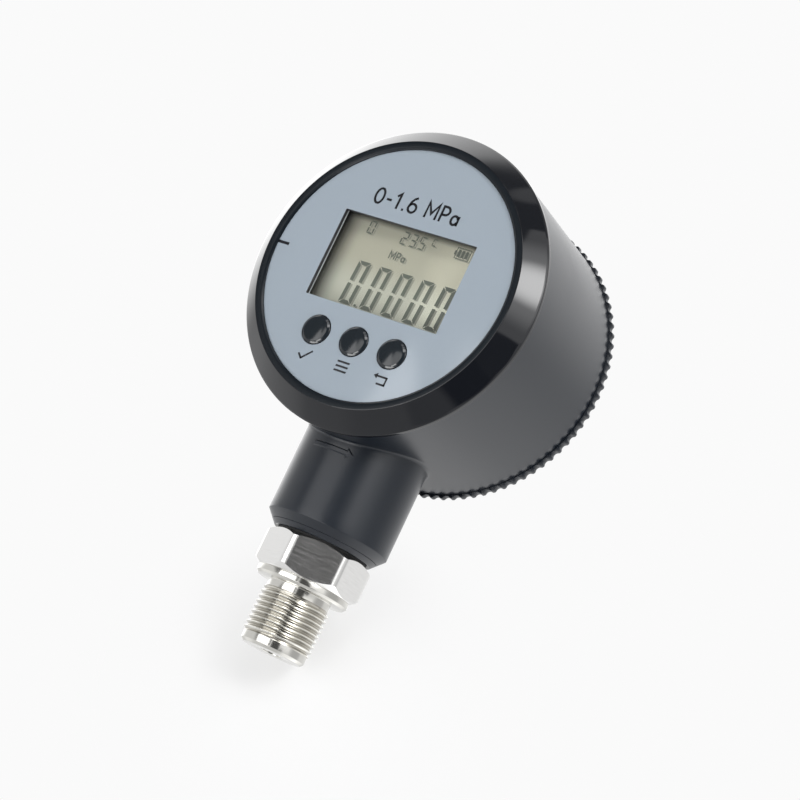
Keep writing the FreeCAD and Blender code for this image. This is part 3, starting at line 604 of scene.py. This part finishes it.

# Segments of the display: the reading, the temperature, the unit and the battery mark.
# Each is a film of liquid crystal that has turned dark and casts no real shadow; its shadow on the reflector behind is
# painted, as a grey film set a little right and down.
SEGMENT_DEPTH, SEGMENT_THICK = 3.98, 0.03
SHADE_RIGHT, SHADE_DOWN, SHADE_LIFT, SHADE_THICK = 0.3, 0.1, 0.015, 0.01
SEGMENT_SIDES = {"0": "abcdef", "2": "abged", "3": "abgcd", "5": "afgcd", "C": "afed"}
READING_DIGITS = dict(pitch=7.0, width=4.1, height=12.9, bar=1.1, gap=0.2, waist=0.42, lean=0.055)
SMALL_DIGITS = dict(pitch=2.9, width=2.1, height=3.9, bar=0.42, gap=0.1, waist=0.2, lean=0.03)
DEGREE_SIGN = dict(pitch=3.0, width=1.5, height=2.2, bar=0.32, gap=0.06, waist=0.1, lean=0.03)


def on_dial(x, depth, z):
    """A point given by its place on the dial and its depth behind the lip's plane."""
    return x, LIP_PLANE + depth, DIAL_HEIGHT + z


def segment_outlines(width, height, bar, gap, waist):
    """The seven bars of a digit as outlines, from its lower left corner."""
    half = height / 2
    upright = [(0, half + waist), (bar, half + waist), (bar, height - bar - gap), (0, height - gap)]
    top = [(gap, height), (width - gap, height), (width - bar - gap, height - bar), (bar + gap, height - bar)]
    middle = [
        (bar / 2 + gap, half), (bar + gap, half + bar / 2), (width - bar - gap, half + bar / 2),
        (width - bar / 2 - gap, half), (width - bar - gap, half - bar / 2), (bar + gap, half - bar / 2)]
    return {
        "a": top, "d": [(x, height - z) for x, z in top], "g": middle,
        "f": upright, "b": [(width - x, z) for x, z in upright],
        "e": [(x, height - z) for x, z in upright], "c": [(width - x, height - z) for x, z in upright],
    }


def film(outlines, depth, thick):
    """Flat outlines on the dial as thin plates."""
    points, faces = [], []
    for outline in outlines:
        start, count = len(points), len(outline)
        points += [on_dial(x, depth, z) for x, z in outline] + [on_dial(x, depth + thick, z) for x, z in outline]
        faces += [tuple(range(start, start + count)), tuple(range(start + count, start + 2 * count))]
        for one in range(count):
            here, there = start + one, start + (one + 1) % count
            faces.append((here, there, there + count, here + count))
    return points, faces


def digit_row(signs, left, low, pitch, lean, **sizes):
    """Outlines of the dark bars in a row of digits, which lean a little to the right."""
    bars = segment_outlines(**sizes)
    outlines = []
    for number, sign in enumerate(signs):
        start = left + number * pitch
        outlines += [[(start + x + lean * z, low + z) for x, z in bars[side]] for side in SEGMENT_SIDES[sign]]
    return outlines


def bar_at(left, low, right, top):
    return [(left, low), (right, low), (right, top), (left, top)]


marks = digit_row("00000", -12.5, -10.6, **READING_DIGITS) + [bar_at(-7.3, -10.6, -6.6, -9.9)]
marks += digit_row("0", -14.0, 10.2, **SMALL_DIGITS)
marks += digit_row("235", -2.8, 9.9, **SMALL_DIGITS) + [bar_at(2.35, 9.9, 2.7, 10.25)]
marks += digit_row("C", 6.9, 11.9, **DEGREE_SIGN)
marks += [
    bar_at(14.9, 10.5, 19.5, 10.72), bar_at(14.9, 13.6, 19.5, 13.82), bar_at(14.9, 10.72, 15.12, 13.6),
    bar_at(19.28, 10.72, 19.5, 13.6), bar_at(14.5, 11.5, 14.9, 12.8)]
marks += [bar_at(15.6 + 1.2 * number, 11.1, 16.4 + 1.2 * number, 13.2) for number in range(3)]
segments = make_piece("display_segments", *film(marks, SEGMENT_DEPTH, SEGMENT_THICK), sharp=10)
dark_crystal = speckled("dark_crystal", ((0.105, 0.12, 0.10), (0.13, 0.145, 0.12)), 2600.0, (0.35, 0.5), 0.05)


def ribbon(path, width):
    """The outline of a pen stroke of even width along a path."""
    places = [Vector(point) for point in path]
    left, right = [], []
    for number, here in enumerate(places):
        before = (here - places[max(number - 1, 0)]).normalized()
        after = (places[min(number + 1, len(places) - 1)] - here).normalized()
        along = (before + after).normalized()
        side = Vector((-along.y, along.x)) * (width / 2 / max(along.dot(after if number == 0 else before), 0.35))
        left.append(tuple(here + side))
        right.append(tuple(here - side))
    return left + right[::-1]


def bow(across, up, wide, high, start, end, steps=14):
    """Points of an arc, by its middle, its half sizes and its angles in degrees."""
    angles = [math.radians(start + (end - start) * step / steps) for step in range(steps + 1)]
    return [(across + wide * math.cos(angle), up + high * math.sin(angle)) for angle in angles]


# Plain upright signs, drawn with one pen on a body one unit high: width, then strokes.
SIGN_STROKES = {
    "0": (0.62, [bow(0.31, 0.5, 0.27, 0.46, 90, 270), bow(0.31, 0.5, 0.27, 0.46, -90, 90)]),
    "1": (0.45, [[(0.06, 0.74), (0.28, 0.94), (0.28, 0.0)]]),
    "6": (0.62, [bow(0.32, 0.3, 0.26, 0.27, -100, 260), [(0.07, 0.36), (0.14, 0.66), (0.28, 0.86), (0.46, 0.97)]]),
    "M": (0.86, [[(0.08, 0.0), (0.08, 0.96), (0.43, 0.3), (0.78, 0.96), (0.78, 0.0)]]),
    "P": (0.64, [[(0.09, 0.0), (0.09, 0.95), (0.3, 0.95)] + bow(0.3, 0.7, 0.25, 0.25, 80, -90) + [(0.09, 0.45)]]),
    "a": (0.58, [bow(0.27, 0.3, 0.21, 0.27, 20, 340), [(0.5, 0.6), (0.5, 0.0)]]),
    "-": (0.5, [[(0.08, 0.42), (0.42, 0.42)]]),
    ".": (0.26, [[(0.06, 0.06), (0.2, 0.06)]]),
    " ": (0.34, []),
}


def lettered(text, across, up, height, pen):
    """Outlines of a line of signs, set by its middle."""
    gap = 0.12 * height
    wide = sum(SIGN_STROKES[sign][0] * height + gap for sign in text) - gap
    left, outlines = across - wide / 2, []
    for sign in text:
        room, paths = SIGN_STROKES[sign]
        outlines += [ribbon([(left + x * height, up + (z - 0.5) * height) for x, z in path], pen) for path in paths]
        left += room * height + gap
    return outlines


unit_marks = lettered("MPa", -1.3, 6.3, 2.3, 0.4)
unit = make_piece("display_unit", *film(unit_marks, SEGMENT_DEPTH, SEGMENT_THICK), sharp=10)
# Painted shadow of the segments and the unit: a grey film of their outlines on the reflector, set a little right and
# down.
shadows = [[(x + SHADE_RIGHT, z - SHADE_DOWN) for x, z in outline] for outline in marks + unit_marks]
shade = make_piece("display_painted_shadow", *film(shadows, REFLECTOR_DEPTH - SHADE_LIFT, SHADE_THICK), sharp=10)
shade.data.materials.append(speckled(
    "crystal_painted_shadow", ((0.295, 0.295, 0.255), (0.335, 0.335, 0.29)), 2400.0, (0.5, 0.7), 0.05))
for crystal in (segments, unit):
    crystal.data.materials.append(dark_crystal)
    crystal.visible_shadow = False
    crystal.visible_diffuse = False
for display_piece in (segments, unit, shade):
    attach(display_piece, "gauge")

# Window lens: a clear acrylic plate behind the opening of the panel.
# It is sawn from sheet, with rounded corners and edges broken by a light flame polish.
LENS_CORNER, LENS_EDGE, LENS_GAP = 0.8, 0.12, 0.02
lens_low, lens_high = (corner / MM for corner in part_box("window_lens"))


def rounded_box(left, low, right, top, radius):
    return eased([(across, up, radius) for across, up in bar_at(left, low, right, top)])


def plate_piece(name, outlines, front, rear, edge):
    """A flat plate with holes and slightly broken edges, made as a filled curve."""
    line = bpy.data.curves.new(name, "CURVE")
    line.dimensions = "2D"
    line.fill_mode = "BOTH"
    line.extrude = ((rear - front) / 2 - edge) * MM
    line.bevel_depth = edge * MM
    line.bevel_resolution = 1
    line.offset = -edge * MM
    for outline in outlines:
        spline = line.splines.new("POLY")
        spline.points.add(len(outline) - 1)
        for point, (across, up) in zip(spline.points, outline):
            point.co = (across * MM, up * MM, 0, 1)
        spline.use_cyclic_u = True
    carrier = placed(name, line)
    bpy.context.view_layer.update()
    mesh = bpy.data.meshes.new_from_object(carrier.evaluated_get(bpy.context.evaluated_depsgraph_get()))
    bpy.data.objects.remove(carrier)
    middle = Vector(on_dial(0, (front + rear) / 2, 0)) * MM
    mesh.transform(Matrix.Translation(middle) @ Matrix.Rotation(math.radians(90), 4, "X"))
    shape = bmesh.new()
    shape.from_mesh(mesh)
    bmesh.ops.remove_doubles(shape, verts=shape.verts, dist=0.001 * MM)
    shape.to_mesh(mesh)
    shape.free()
    mesh.shade_flat()
    mesh.materials.clear()
    return placed(name, mesh)


lens_outline = rounded_box(
    lens_low.x, lens_low.z - DIAL_HEIGHT, lens_high.x, lens_high.z - DIAL_HEIGHT, LENS_CORNER)
lens = plate_piece("lens_plate", [lens_outline], lens_low.y - LIP_PLANE, lens_high.y - LENS_GAP - LIP_PLANE, LENS_EDGE)
lens.data.materials.append(clear_sheet("clear_acrylic", (0.985, 0.99, 0.985), 0.0))
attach(lens, "gauge")
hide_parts("window_lens")

# Lens edge highlight: two thin strips of pale material behind the window's side edges, a painted highlight for the
# bright edge of the lens.
# A thin edge of each shows left and right in the window.
WINDOW_LEFT, WINDOW_RIGHT, WINDOW_LOW, WINDOW_TOP = -21.3, 21.9, -11.6, 14.4
HIGHLIGHT_WIDTH, HIGHLIGHT_FRONT, HIGHLIGHT_REAR = 0.24, 1.7, 1.79
strips = [(WINDOW_LEFT, WINDOW_LEFT + HIGHLIGHT_WIDTH), (WINDOW_RIGHT - HIGHLIGHT_WIDTH, WINDOW_RIGHT)]
highlight_strips = make_piece("lens_edge_highlight", *joined(*(
    box_shell(on_dial(left, HIGHLIGHT_FRONT, WINDOW_LOW), on_dial(right, HIGHLIGHT_REAR, WINDOW_TOP))
    for left, right in strips))[:2])
# Painted highlight: a plain pale finish for the bright edge of the lens.
painted_edge_highlight = speckled("painted_edge_highlight", ((0.42, 0.44, 0.45), (0.52, 0.54, 0.55)), 1500.0, (0.3, 0.45), 0.1)
highlight_strips.data.materials.append(painted_edge_highlight)
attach(highlight_strips, "gauge")

# Front bezel: a polished black ring pressed into the front of the barrel.
# It has a flat matt lip round the panel, a soft ridge and a wide mirror-smooth cone.
DIAL_STEPS = 256
LIP_INNER, LIP_OUTER, MATT_REACH = 36.95, 39.25, 39.05
BEZEL_RADIUS, BEZEL_DEPTH = 44.65, 6.0
SLEEVE_RADIUS, SLEEVE_BORE, SLEEVE_DEPTH = 41.6, 39.9, 11.0


def about_dial(across, along, angle):
    return on_dial(across * math.cos(angle), along, across * math.sin(angle))


bezel_outline = eased([
    (LIP_INNER, LIP_RISE, 0), (LIP_INNER, 0.0, 0.1), (37.6, -0.36, 0.3), (LIP_OUTER, -LIP_RISE, 0.3),
    (44.2, 4.35, 0.5), (BEZEL_RADIUS, 4.85, 0.35), (BEZEL_RADIUS, BEZEL_DEPTH, 0.15), (SLEEVE_RADIUS, BEZEL_DEPTH, 0),
    (SLEEVE_RADIUS, SLEEVE_DEPTH, 0.2), (SLEEVE_BORE, SLEEVE_DEPTH, 0), (SLEEVE_BORE, LIP_RISE, 0),
])
bezel = make_piece("bezel_ring", *spun(bezel_outline, DIAL_STEPS, about_dial), sharp=40)
for polygon in bezel.data.polygons:
    middle = polygon.center / MM
    reach = math.hypot(middle.x, middle.z - DIAL_HEIGHT)
    polygon.material_index = 1 if reach < MATT_REACH and middle.y - LIP_PLANE < LIP_RISE else 0
gloss_black = moulded("gloss_black", ((0.004, 0.005, 0.0075), (0.0065, 0.0075, 0.0105)), 900.0, (0.035, 0.075), 0.006)
matt_lip = moulded("matt_lip", ((0.005, 0.008, 0.011), (0.008, 0.011, 0.015)), 3000.0, (0.17, 0.22), 0.05, 0.22)
bezel.data.materials.append(gloss_black)
bezel.data.materials.append(matt_lip)
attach(bezel, "gauge")
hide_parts("front_bezel")

# Bezel seal: a flat rubber ring, moulded to size.
# It lies in the groove of the barrel's front end, under the bezel.
dress(seal_rubber, "bezel_seal")

# Face panel: a stamped plate with a glossy blue-grey film on its front.
# It has the window, three button holes and printing in black.
PANEL_RADIUS, PANEL_FRONT, PANEL_REAR, PANEL_EDGE = 39.8, 0.4, 1.8, 0.07
PANEL_STEPS, HOLE_STEPS = 192, 64
WINDOW_CORNER = 0.25
BUTTON_PLACES = {"left": -12.85, "middle": -0.3, "right": 12.25}
BUTTON_ROW, HOLE_RADIUS = -20.5, 4.4


def ring_outline(across, up, radius, count):
    angles = [math.tau * step / count for step in range(count)]
    return [(across + radius * math.cos(angle), up + radius * math.sin(angle)) for angle in angles]


rim = ring_outline(0, 0, PANEL_RADIUS, PANEL_STEPS)
window = rounded_box(WINDOW_LEFT, WINDOW_LOW, WINDOW_RIGHT, WINDOW_TOP, WINDOW_CORNER)
holes = [ring_outline(across, BUTTON_ROW, HOLE_RADIUS, HOLE_STEPS) for across in BUTTON_PLACES.values()]
panel = plate_piece("panel_plate", [rim, window, *holes], PANEL_FRONT, PANEL_REAR, PANEL_EDGE)
panel_film = moulded("panel_film", ((0.305, 0.354, 0.405), (0.319, 0.368, 0.419)), 1200.0, (0.025, 0.05), 0.002)
panel.data.materials.append(panel_film)
panel.data.materials.append(chip_package)
for polygon in panel.data.polygons:
    polygon.material_index = 1 if polygon.normal.y > -0.5 else 0
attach(panel, "gauge")
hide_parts("face_panel")

# Printing on the panel: the measuring range, a mark at nine o'clock and a plain sign under each button.
# It is black screen ink, a few hundredths of a millimetre thick.
INK_DEPTH, INK_THICK = PANEL_FRONT - 0.015, 0.02
LEFT_SIGN, MIDDLE_SIGN, RIGHT_SIGN = BUTTON_PLACES.values()
SIGN_ROW, SIGN_PEN = -28.0, 0.55
black_ink = speckled("black_ink", ((0.005, 0.006, 0.009), (0.009, 0.010, 0.013)), 2400.0, (0.14, 0.22), 0.02)


def sign_stroke(across, *path):
    return ribbon([(across + x, SIGN_ROW + z) for x, z in path], SIGN_PEN)


strokes = [
    bar_at(-37.2, -0.42, -33.4, 0.42),
    sign_stroke(LEFT_SIGN, (-1.9, 0), (-0.5, -1.4)), sign_stroke(LEFT_SIGN, (-0.75, -1.35), (2.1, 1.5)),
    *(sign_stroke(MIDDLE_SIGN, (-2.0, shift), (2.0, shift)) for shift in (-1.3, 0, 1.3)),
    sign_stroke(RIGHT_SIGN, (-1.4, 0.8), (1.9, 0.8)), sign_stroke(RIGHT_SIGN, (1.9, 1.05), (1.9, -1.55)),
    sign_stroke(RIGHT_SIGN, (2.15, -1.3), (-0.6, -1.3)),
    [(RIGHT_SIGN + x, SIGN_ROW + z) for x, z in ((-2.3, 0.8), (-1.1, -0.05), (-1.1, 1.65))]]
signs = make_piece("panel_signs", *film(strokes, INK_DEPTH, INK_THICK), sharp=10)
title = make_piece("panel_range", *film(lettered("0-1.6 MPa", -0.7, 20.6, 4.8, 0.7), INK_DEPTH, INK_THICK), sharp=10)
for print_piece in (signs, title):
    print_piece.data.materials.append(black_ink)
    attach(print_piece, "gauge")

# Buttons: three gloss black caps with a faintly crowned top and a rounded rim.
# Each has a flange behind the panel and a short stem that stands on its switch.
BUTTON_RADIUS, BUTTON_TOP, BUTTON_CROWN = 4.3, -0.3, 0.06
CROWN_RADIUS, CROWN_STEPS, BUTTON_STEPS = 3.5, 8, 96
BEVEL_RADIUS, BEVEL_DROP, SIDE_DROP = 4.2, 0.42, 0.9
FLANGE_RADIUS, FLANGE_FRONT, FLANGE_REAR = 5.2, 1.9, 2.9
FOOT_RADIUS, FOOT_END = 2.0, 4.2
button_gloss = moulded("button_gloss", ((0.0095, 0.0135, 0.0175), (0.012, 0.0165, 0.021)), 900.0, (0.05, 0.065), 0.004)
body = eased([
    (0, BUTTON_TOP + 1, 0), (0, BUTTON_TOP, 0), (CROWN_RADIUS, BUTTON_TOP + BUTTON_CROWN, 0.15),
    (BEVEL_RADIUS, BUTTON_TOP + BUTTON_CROWN + BEVEL_DROP, 0.15), (BUTTON_RADIUS, BUTTON_TOP + SIDE_DROP, 0.15),
    (BUTTON_RADIUS, FLANGE_FRONT, 0), (FLANGE_RADIUS, FLANGE_FRONT, 0.1), (FLANGE_RADIUS, FLANGE_REAR, 0.1),
    (FOOT_RADIUS, FLANGE_REAR, 0), (FOOT_RADIUS, FOOT_END, 0.1), (0, FOOT_END, 0),
], steps=4)[2:]
shares = [step / CROWN_STEPS for step in range(CROWN_STEPS + 1)]
crown = [(CROWN_RADIUS * share, BUTTON_TOP + BUTTON_CROWN * share ** 2) for share in shares]
crown = [point for point in crown if point[0] < body[0][0]]
for side, across in BUTTON_PLACES.items():
    points, faces = spun(crown + body, BUTTON_STEPS, lambda reach, along, angle: on_dial(
        across + reach * math.cos(angle), along, BUTTON_ROW + reach * math.sin(angle)))
    button = make_piece(f"{side}_cap", points, faces, sharp=40)
    button.data.materials.append(button_gloss)
    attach(button, f"{side}_key")
    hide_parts(f"{side}_button")

# Rear cover: a screw cap moulded like the case, with a fluted rim to grip and a raised flat back.
# Its spigot has a coarse thread and a groove for the sealing ring.
COVER_FRONT, COVER_REAR, COVER_BACK = 55.3, 57.3, 58.5
FLUTES, FLUTE_STEPS, FLUTE_TIP, FLUTE_DEPTH, FLUTE_CUTTER = 88, 12, 43.8, 0.7, 1.3
SPIGOT_OUTER, SPIGOT_INNER, SPIGOT_FRONT, SPIGOT_END = 40.1, 38.1, 49.3, COVER_FRONT + 0.2
RAISED_RADIUS, RAISED_FOOT, GATE_RADIUS, GATE_DEPTH = 37.3, 38.5, 1.5, 0.12
GROOVE_FRONT, GROOVE_REAR, GROOVE_FLOOR = 52.35, 53.85, 38.7
COVER_PITCH, COVER_ROOT = 2.0, 39.2
CUT_FRONT, CUT_REAR = SPIGOT_FRONT + 0.2, GROOVE_FRONT - 0.3
COVER_SECTION = [(0.0, 40.0), (0.25, 40.1), (0.3, 40.05), (0.55, 39.22), (0.75, 39.22)]


def flute_reach(share):
    """Radius of the rim at a share of one flute's pitch."""
    angle = math.tau / FLUTES * (share - 0.5)
    centre = FLUTE_TIP - FLUTE_DEPTH + FLUTE_CUTTER
    inside = FLUTE_CUTTER ** 2 - (centre * math.sin(angle)) ** 2
    return min(FLUTE_TIP, centre * math.cos(angle) - math.sqrt(inside)) if inside > 0 else FLUTE_TIP


def rim_shell():
    count = FLUTES * FLUTE_STEPS
    points = []
    for step in range(count):
        reach = flute_reach(step % FLUTE_STEPS / FLUTE_STEPS)
        section = [
            (RAISED_FOOT, COVER_FRONT), (reach - 0.3, COVER_FRONT), (reach - 0.09, COVER_FRONT + 0.09),
            (reach, COVER_FRONT + 0.3), (reach, COVER_REAR - 0.3), (reach - 0.09, COVER_REAR - 0.09),
            (reach - 0.3, COVER_REAR), (RAISED_FOOT, COVER_REAR)]
        points += [about_dial(across, along, math.tau * step / count) for across, along in section]
    return points, banded(count, 8)


def cover_limit(along):
    """The thread rises out of its root at both ends."""
    return min(SPIGOT_OUTER, COVER_ROOT + 3 * (along - CUT_FRONT), COVER_ROOT + 3 * (CUT_REAR - along))


raised_back = spun(eased([
    (0, COVER_FRONT, 0), (RAISED_FOOT + 0.05, COVER_FRONT, 0), (RAISED_FOOT + 0.05, COVER_REAR - 0.05, 0),
    (RAISED_RADIUS, COVER_BACK, 0.4), (GATE_RADIUS + 0.1, COVER_BACK, 0.05),
    (GATE_RADIUS, COVER_BACK - GATE_DEPTH, 0.05), (0, COVER_BACK - GATE_DEPTH, 0),
]), DIAL_STEPS, about_dial)
spigot = spun(eased([
    (SPIGOT_INNER, SPIGOT_END, 0), (SPIGOT_INNER, SPIGOT_FRONT, 0.2), (COVER_ROOT, SPIGOT_FRONT, 0.1),
    (COVER_ROOT, CUT_REAR, 0), (SPIGOT_OUTER, CUT_REAR, 0.1), (SPIGOT_OUTER, GROOVE_FRONT, 0.1),
    (GROOVE_FLOOR, GROOVE_FRONT, 0.2), (GROOVE_FLOOR, GROOVE_REAR, 0.2), (SPIGOT_OUTER, GROOVE_REAR, 0.1),
    (SPIGOT_OUTER, SPIGOT_END, 0),
]), DIAL_STEPS, about_dial)
cover_thread = threaded(
    COVER_SECTION, COVER_PITCH, CUT_FRONT, CUT_REAR, cover_limit, DIAL_STEPS,
    lambda across, along, angle: about_dial(across, along, -angle))
cover = make_piece("cover_cap", *joined(rim_shell(), raised_back, spigot, cover_thread)[:2], sharp=32)
cover.data.materials.append(black_moulding)
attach(cover, "cover")
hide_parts("rear_cover")

# Cover seal: a round cord ring of moulded rubber.
# It lies in the groove of the cover's spigot and seals against the barrel's bore.
dress(seal_rubber, "cover_seal")

# Studio: a pale table under the stem and the pale sheet that the gauge leans on, both seen from their front only.
# A light tent stands round it, with a dark gap where the camera stands and bright panels beside it.
PAPER_WHITE, TENT_WHITE = 0.957, 0.8
PAPER_HALF = 6.0
LEAN = Vector((0.273, -0.897, 0.347)).normalized()
STEM_REST = LEAN * (-9.65 * MM) + (Vector((1, 0, 0)) - LEAN * LEAN.x).normalized() * (14 * MM)


def paper(name, near, reach, share, tone):
    """White paper that keeps a soft shadow near the object and runs into the background further off."""
    material, tree, shader = new_material(name)
    tree.nodes.remove(shader)
    place = add_node(tree, "ShaderNodeTexCoord").outputs["Object"]
    length = add_node(tree, "ShaderNodeVectorMath", {0: place}, operation="LENGTH").outputs["Value"]
    fade = ramp(tree, length, near, reach, share, 0.0, "SMOOTHSTEP")
    glow = add_node(tree, "ShaderNodeEmission", {"Color": (PAPER_WHITE,) * 3 + (1,), "Strength": 1.0})
    matt = add_node(tree, "ShaderNodeBsdfDiffuse", {"Color": (tone, tone, tone, 1)})
    front = add_node(tree, "ShaderNodeMixShader", {"Fac": fade, 1: glow.outputs["Emission"], 2: matt.outputs["BSDF"]})
    clear = add_node(tree, "ShaderNodeBsdfTransparent")
    facing = add_node(tree, "ShaderNodeNewGeometry").outputs["Backfacing"]
    sides = add_node(tree, "ShaderNodeMixShader", {"Fac": facing, 1: front.outputs["Shader"], 2: clear.outputs["BSDF"]})
    feed(tree, tree.nodes["Material Output"], {"Surface": sides.outputs["Shader"]})
    return material


def paper_sheet(name, centre, facing, **finish):
    mesh = bpy.data.meshes.new(name)
    corners = bar_at(-PAPER_HALF, -PAPER_HALF, PAPER_HALF, PAPER_HALF)
    mesh.from_pydata([(x, y, 0) for x, y in corners], [], [(0, 1, 2, 3)])
    sheet = placed(name, mesh)
    sheet.matrix_world = Matrix.Translation(centre) @ Vector(facing).to_track_quat("Z", "Y").to_matrix().to_4x4()
    mesh.materials.append(paper(name, **finish))
    sheet.visible_shadow = False
    sheet.visible_glossy = False
    sheet.visible_diffuse = False
    sheet.visible_transmission = False


paper_sheet("table_paper", (0, 0, -0.0002), (0, 0, 1), near=0.16, reach=0.45, share=0.2, tone=0.81)
paper_sheet("rest_paper", STEM_REST, LEAN, near=0.008, reach=0.06, share=0.45, tone=0.795)

# Brightness of the tent's places, each laid over those before it: a round patch by its azimuth, elevation and
# two radii, or a panel by its edges, each through two directions and with a softness. All angles are in degrees.
TENT = [
    (3.2, (-130, 40, 18, 50)), (1.7, (180, 45, 15, 48)), (1.5, (150, -45, 15, 55)), (2.0, (176, -50, 6, 20)),
    (1.35, (-95, -28, 10, 25)), (0.65, (112, 8, 10, 28)), (0.25, (-5, 40, 44, 56)), (0.9, (35, 80, 2.5, 6)),
    (0.1, (32, 2, 13, 18)), (0.08, (42, -24, 16, 24)),
    (2.75, [((-31.3, 13.6), (-31.5, -27), 0.3), ((-36.0, -27), (6, -27), 4),
            ((9, -27), (10, 14), 1.5), ((10, 13.2), (-31, 12.6), 0.3)]),
    (0.12, [((10.8, 14), (10.4, -27), 0.3), ((5, -27), (25, -27), 2),
            ((15.2, -27), (15.2, 14), 0.4), ((25, 13.2), (5, 13.2), 0.5)]),
    (1.3, [((15.6, 14), (15.6, -27), 0.4), ((5, -27), (25, -27), 2),
           ((19.4, -27), (19.4, 14), 0.5), ((25, 13.2), (5, 13.2), 0.5)]),
    (3.9, [((-32.59, 11.23), (-32.78, 10.46), 0.12), ((-40, 2), (-20, 2), 3),
           ((-31.85, 11.14), (-32.16, 11.67), 0.12)]),
    (10.0, [((-42, -38), (-42, -44), 4), ((-42, -44.5), (9, -44.5), 1.5),
            ((9, -44), (9, -38), 4), ((9, -38.5), (-42, -38.5), 1.5)]),
    (10.0, [((-8, -36), (-3, -43), 2), ((-3.3, -41.2), (17.7, -25.7), 1),
            ((18.5, -26.5), (13.5, -21), 2), ((14.3, -22.3), (-6.7, -37.8), 1)]),
    (2.5, (-10, 58, 2, 7)), (3.0, (8, 51, 2, 7)), (7.0, (20, 41, 4, 9)), (0.85, (20, -72, 16, 32)),
    (0.6, (37, -50, 8, 14)), (0.15, (55, -9, 10, 11.5)),
    (1.4, [((48.5, 60), (48.5, 0), 0.6), ((48.5, 2.0), (85, 2.0), 0.6),
           ((85, 0), (85, 60), 4), ((70, 60), (48.5, 60.5), 0.6)]),
    (3.8, (56.5, 31, 10, 25)), (16.0, (56.5, 31.5, 1, 13)),
]


def toward(azimuth, elevation):
    """Direction from the object, with azimuth from -Y towards +X."""
    a, e = math.radians(azimuth), math.radians(elevation)
    return Vector((math.sin(a) * math.cos(e), -math.cos(a) * math.cos(e), math.sin(e)))


world = bpy.data.worlds.new("light_tent")
bpy.context.scene.world = world
world.use_nodes = True
tree = world.node_tree
tree.nodes.clear()
place = add_node(tree, "ShaderNodeTexCoord").outputs["Generated"]


def tent_mask(direction, start, end):
    turn = add_node(tree, "ShaderNodeVectorMath", {0: place, 1: direction}, operation="DOT_PRODUCT").outputs["Value"]
    return ramp(tree, turn, start, end, kind="SMOOTHSTEP")


def tent_patch(azimuth, elevation, inner, outer):
    return tent_mask(toward(azimuth, elevation), math.cos(math.radians(outer)), math.cos(math.radians(inner)))


def tent_edge(one, two, soft):
    reach = math.sin(math.radians(soft))
    return tent_mask(toward(*one).cross(toward(*two)).normalized(), -reach, reach)


level = 1.0
for brightness, shape in TENT:
    masks = [tent_patch(*shape)] if isinstance(shape, tuple) else [tent_edge(*edge) for edge in shape]
    shared = masks[0]
    for mask in masks[1:]:
        shared = combined(tree, "MULTIPLY", shared, mask)
    level = add_node(tree, "ShaderNodeMix", {"Factor": shared, "A": level, "B": brightness}).outputs["Result"]
rays = add_node(tree, "ShaderNodeLightPath").outputs
seen = add_node(tree, "ShaderNodeMix", {
    "Factor": rays["Is Camera Ray"], "A": level, "B": PAPER_WHITE / TENT_WHITE}).outputs["Result"]
tent = add_node(tree, "ShaderNodeBackground", {"Color": (TENT_WHITE,) * 3 + (1,), "Strength": seen})
add_node(tree, "ShaderNodeOutputWorld", {"Surface": tent.outputs["Background"]})

# Camera: a long lens at the photograph's angle, a little below the dial and rolled to one side.
# Its place, its roll and its focal length are those that fit the photograph best.
CAMERA_AZIMUTH, CAMERA_ELEVATION, CAMERA_ROLL = 32.08, -10.74, math.radians(25.47)
CAMERA_DISTANCE, CAMERA_FOCAL = 712.12, 2617.05 / 800
CAMERA_AIM, SHIFT_RIGHT, SHIFT_UP = Vector((0, -9.6, 82.6)), 3.79, -8.58
SENSOR_WIDTH = 36.0
back = toward(CAMERA_AZIMUTH, CAMERA_ELEVATION)
level_right = Vector((0, 0, 1)).cross(back).normalized()
level_up = back.cross(level_right)
right = level_right * math.cos(CAMERA_ROLL) + level_up * math.sin(CAMERA_ROLL)
up = level_up * math.cos(CAMERA_ROLL) - level_right * math.sin(CAMERA_ROLL)
eye = CAMERA_AIM + right * SHIFT_RIGHT + up * SHIFT_UP + back * CAMERA_DISTANCE
lens_data = bpy.data.cameras.new("photo_camera")
lens_data.sensor_fit = "HORIZONTAL"
lens_data.sensor_width = SENSOR_WIDTH
lens_data.lens = SENSOR_WIDTH * CAMERA_FOCAL
lens_data.clip_start = 0.02
camera = placed("photo_camera", lens_data)
camera.matrix_world = Matrix.Translation(eye * MM) @ Matrix((right, up, back)).transposed().to_4x4()
bpy.context.scene.camera = camera
bpy.context.scene.view_settings.view_transform = "Standard"
